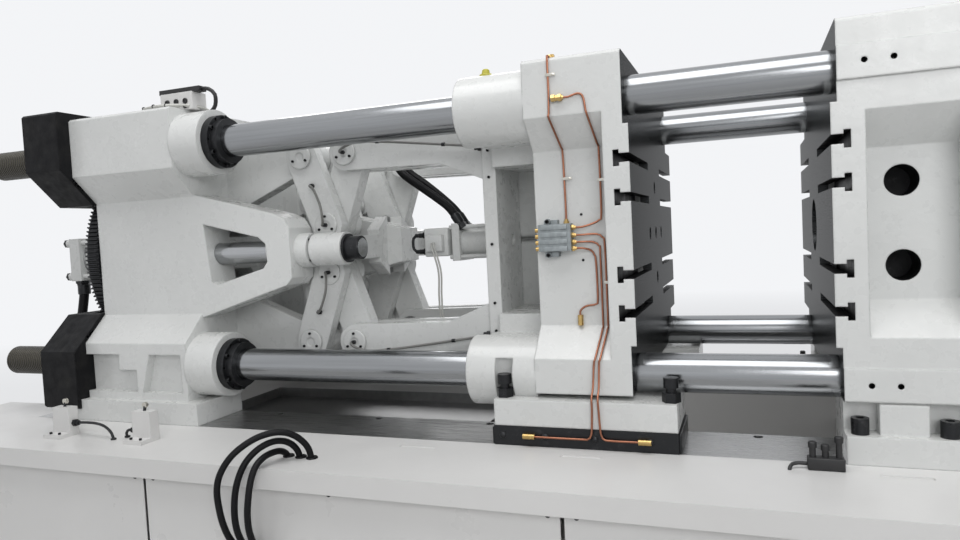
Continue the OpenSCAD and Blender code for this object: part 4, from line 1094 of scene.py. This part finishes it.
def hopper_rims():
    """Rolled rims, flange ring and flange screws of the hopper"""
    steel = Shape(AXIS + 150)
    for z in (318, 472):
        steel.band((HOPPER_X, 0, z), UP, (208.5, 213.5), (-4, 4), 72)
    steel.band((HOPPER_X, 0, 13), UP, (94.5, 98.5), (0, 6), 48)
    for c, s in spokes(6, 30):
        steel.hex_screw((HOPPER_X + 80 * c, 80 * s, 20), UP, 8)
    steel.settle("hopper_rims", "carriage", "bright", 0.5)


def hopper_window():
    """Curved sight glass on the hopper's near side"""
    glass = Shape(AXIS + 150)
    section = ((209.5, 345), (212.5, 345), (212.5, 450), (209.5, 450))
    turns = [math.radians(-110 + 5 * k) for k in range(10)]
    glass.skin([[glass.at((HOPPER_X + r * math.cos(a), r * math.sin(a), z)) for r, z in section]
                for a in turns])
    glass.settle("hopper_window", "carriage", "black_cap", 0)


def unit_screws():
    """Screws of the carriage, the screw motor and the base rails"""
    dark = Shape()
    for sy in SIDES:
        for x, z in product((1700, 1780), (-35, 35)):
            dark.cap_screw((x, sy * 225, z), (0, sy, 0), 10)
        for x, z in product((1500, 1720), (-140, 100)):
            dark.cap_screw((x, sy * 170, z), (0, sy, 0), 12)
        for x, y in product((1470, 2170, 2910), (345, 405)):
            dark.cap_screw((x, sy * y, RAIL - AXIS + 239.5), UP, 12)
    dark.settle("unit_screws", "carriage", "screw", 0.5)
    rows = Shape(RAIL)
    for sy, k in product(SIDES, range(11)):
        rows.cap_screw((500 + 250 * k, sy * 476, 59.5), UP, 10)
    rows.settle("base_screws", "bed", "screw", 0.5)


# Hoses and tubes

def arched_hoses():
    """Three hoses out of the bed's top plate, over its edge and into its side"""
    routes = [
        [(-1379, -785, 692), (-1386, -791, 731), (-1401, -806, 760), (-1420, -824, 779), (-1441, -845, 788),
         (-1467, -870, 787), (-1494, -896, 776), (-1522, -923, 754), (-1542, -942, 728), (-1557, -957, 693),
         (-1563, -963, 655), (-1562, -961, 610), (-1557, -956, 565), (-1551, -942, 520), (-1547, -914, 484),
         (-1545, -858.5, 466)],
        [(-1417, -783, 692), (-1423, -792, 725), (-1434, -808, 747), (-1449, -829, 759), (-1466, -856, 760),
         (-1487, -887, 746), (-1506, -914, 717), (-1518, -932, 676), (-1524, -942, 629), (-1525, -945, 574),
         (-1522, -937, 525), (-1518, -913, 484), (-1516, -858.5, 462)],
        [(-1459, -782, 692), (-1460, -793, 712), (-1462, -816, 725), (-1464, -848, 730), (-1466, -883, 728),
         (-1469, -914, 714), (-1470, -936, 686), (-1471, -950, 645), (-1472, -958, 595), (-1472, -954, 545),
         (-1472, -933, 498), (-1472, -902, 474), (-1472, -858.5, 465)],
    ]
    grommet = [(0, 16.5), (3, 16.5), (5, 14.5), (5, 10)]
    rubber = Shape(FLOOR)
    for route in routes:
        top = route[0]
        side = route[-1]
        rubber.hose(route, detail("bed_hose"), 20, 8)
        rubber.lathe(grommet, (*top[:2], RAIL), UP, 28)
        rubber.lathe(grommet, (side[0], -PANEL_Y, side[2]), NEAR, 28)
    rubber.settle("arched_hoses", "bed", "hose", 0.9, "bed_hoses")


def clamp_hoses():
    """Thick and thin hose from the clamp cylinder's ports down to the bed, with their bulkhead nuts"""
    head = TAIL_X - 530
    rod = TAIL_X - 30
    thick = head - 46
    thin = rod - 106
    wall = -309.5
    rubber = Shape()
    rubber.hose([(head, -60, -95.3), (head, -60, -140), (head - 8, -68, -220), (head - 22, -76, -300),
                 (head - 36, -84, -380), (head - 44, -92, -450), (thick, -98, -520), (thick, -104, -590),
                 (thick, -124, -660), (thick, -166, -722), (thick, -226, -758), (thick, -275, -765),
                 (thick, wall, -765)], 40, 24, 12)
    rubber.hose([(rod, -60, -95.3), (rod, -60, -125), (rod - 22, -60, -180), (rod - 54, -62, -240),
                 (rod - 82, -66, -310), (rod - 98, -74, -390), (rod - 104, -86, -470), (thin, -100, -550),
                 (thin, -124, -620), (thin, -166, -676), (thin, -226, -708), (thin, -270, -713),
                 (thin, wall, -713)], 24, 18, 12)
    piece = rubber.settle("clamp_hoses", None, "hose", 0.9, "cylinder_hoses")
    rubber.at((head, -80, -340))
    rubber.at((head, -120, -640))
    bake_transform(piece)
    nuts = Shape()
    section = [(0, 0.86), (12, 0.86), (14, 0.80), (14, 0.66), (30, 0.64), (32, 0.5)]
    for at, d in (((thick, -310, -765), 40), ((thin, -310, -713), 24)):
        nuts.lathe([(height, d * share) for height, share in section], at, (0, 1, 0), 6)
    nuts.settle("bulkhead_nuts", "bed", "zinc", 0.4)


def bent_tubes():
    """Copper tubes between the metering block, the top union, the ports and the slide shoes"""
    y = MANIFOLD_Y
    port = -465
    yb = -535
    shoe = -568.3
    runs = [
        [(-712, yb + 22, 504.5), (-712, yb + 12, 505), (-712, yb + 3, 501.5), (-712, yb, 494),
         (-712, yb, 400), (-714, yb, 345), (-714, yb, 332), (-702, y - 12, 262), (-700, y, 240),
         (-698, y, 120), (-698, y, 54)],
        [(-674, yb - 3, 385), (-656, yb - 3, 385), (-638, yb, 391), (-624, yb, 390), (-616, yb, 378),
         (-612, yb, 350), (-608, yb, 332), (-598, y - 12, 262), (-596, y, 240), (-596, y, 70),
         (-602, y, 48), (-622, y - 4, 38), (-652, port, 30), (-670, port, 30)],
        [(-670, port, 8), (-652, port, 8), (-612, y - 2, 8), (-596, y, -2), (-590, y, -30),
         (-590, y, -240), (-590, y - 12, -262), (-600, yb, -334), (-604, yb, -348),
         (-605, yb - 12, -412), (-605, shoe, -438), (-604, shoe, -470), (-600, shoe, -535),
         (-590, shoe, -550), (-570, shoe, -552), (-500, shoe, -552)],
        [(-670, port, -12), (-652, port, -12), (-622, y - 2, -14), (-606, y, -26), (-604, y, -48),
         (-604, y, -240), (-604, y - 12, -262), (-614, yb, -334), (-618, yb, -348),
         (-621, yb - 12, -412), (-622, shoe, -438), (-622, shoe, -470), (-626, shoe, -535),
         (-636, shoe, -550), (-656, shoe, -552), (-788, shoe, -552)],
        [(-670, port, -30), (-652, port, -30), (-630, y - 3, -37), (-620, y, -52), (-617, y, -72),
         (-616, y, -176), (-622, y, -192), (-646, y, -196), (-660, y - 1, -202),
         (-668, y - 2.3, -212), (-668, y - 2.3, -222)],
    ]
    tubes = Shape()
    for run in runs:
        tubes.hose(run, detail("copper_tube"), 12, 8)
    tubes.settle("bent_tubes", "moving", "copper", 0.9, "copper_pipes")
    union = Shape()
    section = [(0, 9.5), (10, 9.5), (10, 7.5), (18, 7.5), (20, 3)]
    union.lathe(section, (-712, yb + 42, 504.8), NEAR, 6)
    union.plate((-722, yb + 36, 499.5), (-702, yb + 52, 515), 2)
    union.settle("top_union", "moving", "brass", 0.4)


# Stage

PALE = (0.90, 0.91, 0.93, 1)
REACH = 30.0           # half the floor's width, in metres


def viewpoint():
    """The photograph's camera"""
    yaw, pitch, roll = (math.radians(a) for a in (20.64, 2.86, 2.91))
    ahead = Vector((-math.sin(yaw) * math.cos(pitch), math.cos(yaw) * math.cos(pitch), -math.sin(pitch)))
    level = Vector((math.cos(yaw), math.sin(yaw), 0))
    under = ahead.cross(level)
    right = math.cos(roll) * level + math.sin(roll) * under
    down = math.cos(roll) * under - math.sin(roll) * level
    lens = bpy.data.cameras.new("viewpoint")
    lens.sensor_width = 36
    lens.lens = 26.87
    lens.clip_end = 200
    camera = bpy.data.objects.new("viewpoint", lens)
    turn = Matrix((right, -down, -ahead)).transposed().to_4x4()
    camera.matrix_world = Matrix.Translation((-0.2088, -2.4737, 1.3062)) @ turn
    bpy.context.scene.collection.objects.link(camera)
    bpy.context.scene.camera = camera


def floor_paint():
    """Pale floor that fades into the background's white with distance, where the camera or metal sees it"""
    g = Graph("pale floor")
    g.set(Base_Color=g.ramp(g.noise(0.8, 4), (0.3, 0.66), (0.7, (0.70, 0.70, 0.69))), Roughness=0.75)
    rays = g.node("LightPath").outputs
    seen = g.math("MINIMUM", g.math("ADD", rays["Is Camera Ray"], rays["Is Glossy Ray"]), 1.0)
    distance = g.node("VectorMath", operation="LENGTH")
    g.feed(distance.inputs[0], g.coords)
    share = g.math("DIVIDE", distance.outputs["Value"], REACH)
    far = g.ramp(share, (0.10, 0.30), (0.17, 0.62), (0.40, 1.0))
    glow = g.node("Emission", Color=PALE)
    blend = g.node("MixShader", Fac=g.math("MULTIPLY", far, seen))
    g.feed(blend.inputs[1], g.skin.outputs[0])
    g.feed(blend.inputs[2], glow.outputs[0])
    g.feed(g.out.inputs[0], blend.outputs[0])
    return g.mat


def lay_floor():
    bm = bmesh.new()
    bmesh.ops.create_grid(bm, x_segments=2, y_segments=2, size=REACH)
    mesh = bpy.data.meshes.new("floor")
    bm.to_mesh(mesh)
    bm.free()
    mesh.materials.append(floor_paint())
    floor = bpy.data.objects.new("floor", mesh)
    bpy.context.scene.collection.objects.link(floor)


def surroundings():
    """Soft even light, seen as white behind the machine and in its metal"""
    world = bpy.context.scene.world or bpy.data.worlds.new("surroundings")
    bpy.context.scene.world = world
    world.use_nodes = True
    sky = Tree(world.node_tree)
    rays = sky.node("LightPath").outputs
    seen = sky.math("MAXIMUM", rays["Is Camera Ray"], rays["Is Glossy Ray"])
    seen = sky.math("MAXIMUM", seen, rays["Is Transmission Ray"])
    strength = sky.math("MULTIPLY_ADD", seen, 0.60, 0.40)
    light = sky.node("Background", Color=PALE, Strength=strength)
    sky.node("OutputWorld", Surface=light.outputs[0])


def lamp(name, at, towards, size, watts):
    light = bpy.data.lights.new(name, "AREA")
    light.shape = "RECTANGLE"
    light.size, light.size_y = size
    light.energy = watts
    item = bpy.data.objects.new(name, light)
    item.location = at
    item.rotation_euler = (Vector(towards) - Vector(at)).to_track_quat("-Z", "Y").to_euler()
    bpy.context.scene.collection.objects.link(item)


# Operators

class MACHINE_OT_stage(bpy.types.Operator):
    """Camera, floor, lights and pale surroundings"""
    bl_idname = "machine.stage"
    bl_label = "Stage"

    def execute(self, context):
        viewpoint()
        lay_floor()
        lamp("overhead", (-0.8, -1.6, 5.2), (-1.0, 0.0, 1.0), (4.5, 3.0), 132)
        lamp("front", (1.8, -5.6, 3.4), (-0.8, 0.0, 1.1), (3.2, 2.4), 112)
        lamp("rear_fill", (-3.5, 4.8, 3.8), (-1.2, 0.0, 1.0), (3.6, 2.4), 96)
        surroundings()
        context.scene.view_settings.view_transform = "Standard"
        return {"FINISHED"}


class MACHINE_OT_finishes(bpy.types.Operator):
    """Gives every CAD node its finish"""
    bl_idname = "machine.finishes"
    bl_label = "Finishes"

    def execute(self, context):
        mix_finishes()
        finish_nodes()
        return {"FINISHED"}


class MACHINE_OT_fasteners(bpy.types.Operator):
    """Screws of collars, platens, brackets, cylinders, plates and panels"""
    bl_idname = "machine.fasteners"
    bl_label = "Fasteners"

    def execute(self, context):
        tail_fasteners()
        nut_cover_lips()
        platen_fasteners()
        bed_fasteners()
        return {"FINISHED"}


class MACHINE_OT_toggle_details(bpy.types.Operator):
    """Pin keeper plates and grease hoses on the folding links"""
    bl_idname = "machine.toggle_details"
    bl_label = "Toggle details"

    def execute(self, context):
        pin_keepers()
        link_hoses()
        ear_hoses()
        return {"FINISHED"}


class MACHINE_OT_ejector_details(bpy.types.Operator):
    """Valve block, port fittings, hoses and cables of the ejector"""
    bl_idname = "machine.ejector_details"
    bl_label = "Ejector details"

    def execute(self, context):
        ejector_valve_box()
        ejector_fittings()
        ejector_hoses()
        ejector_cables()
        return {"FINISHED"}


class MACHINE_OT_tail_details(bpy.types.Operator):
    """Cables and glands on the tail platen, and dress of the clamp cylinder, motor and nut covers"""
    bl_idname = "machine.tail_details"
    bl_label = "Tail platen details"

    def execute(self, context):
        tail_cables()
        tail_glands()
        cylinder_dress()
        motor_ribs()
        motor_cable()
        cover_screws()
        return {"FINISHED"}


class MACHINE_OT_bed_details(bpy.types.Operator):
    """Switch fittings, louvres, latches, stops and welds of the bed"""
    bl_idname = "machine.bed_details"
    bl_label = "Bed details"

    def execute(self, context):
        switch_fittings()
        louvres()
        closing_stops()
        bed_welds()
        return {"FINISHED"}


class MACHINE_OT_platen_details(bpy.types.Operator):
    """Lifting plugs, shoe wipers, pipe clips, fittings and caps of both platens"""
    bl_idname = "machine.platen_details"
    bl_label = "Platen details"

    def execute(self, context):
        hub_plugs()
        platen_dark_details()
        block_ribs()
        brass_unions()
        pipe_clips()
        fixed_platen_screws()
        return {"FINISHED"}


class MACHINE_OT_injection_details(bpy.types.Operator):
    """Band clamps, heater plugs and leads, hopper fittings and unit screws"""
    bl_idname = "machine.injection_details"
    bl_label = "Injection unit details"

    def execute(self, context):
        band_dress()
        hopper_rims()
        hopper_window()
        unit_screws()
        return {"FINISHED"}


class MACHINE_OT_hoses(bpy.types.Operator):
    """Smooth hydraulic hoses and lubrication tubes in place of the CAD ones"""
    bl_idname = "machine.hoses"
    bl_label = "Hoses and tubes"

    def execute(self, context):
        arched_hoses()
        clamp_hoses()
        bent_tubes()
        return {"FINISHED"}


STEPS = (MACHINE_OT_stage, MACHINE_OT_finishes, MACHINE_OT_fasteners, MACHINE_OT_toggle_details,
         MACHINE_OT_ejector_details, MACHINE_OT_tail_details, MACHINE_OT_bed_details,
         MACHINE_OT_platen_details, MACHINE_OT_injection_details, MACHINE_OT_hoses)


class MACHINE_PT_looks(bpy.types.Panel):
    """Lists the machine's pieces and settings"""
    bl_label = "Moulding Machine"
    bl_idname = "MACHINE_PT_looks"
    bl_space_type = "VIEW_3D"
    bl_region_type = "UI"
    bl_category = "Moulding Machine"

    def draw(self, context):
        layout = self.layout
        for group in (context.scene.machine_paint, context.scene.machine_detail):
            for key in group.bl_rna.properties.keys():
                if key not in {"rna_type", "name"}:
                    layout.prop(group, key)
        for step in STEPS:
            layout.operator(step.bl_idname)


CLASSES = (PaintSettings, DetailSettings, *STEPS, MACHINE_PT_looks)


def register():
    for item in CLASSES:
        bpy.utils.register_class(item)
    bpy.types.Scene.machine_paint = bpy.props.PointerProperty(type=PaintSettings)
    bpy.types.Scene.machine_detail = bpy.props.PointerProperty(type=DetailSettings)


def unregister():
    del bpy.types.Scene.machine_detail
    del bpy.types.Scene.machine_paint
    for item in reversed(CLASSES):
        bpy.utils.unregister_class(item)


def main():
    register()
    for step in STEPS:
        group, call = step.bl_idname.split(".")
        getattr(getattr(bpy.ops, group), call)()


if __name__ == "__main__":
    main()
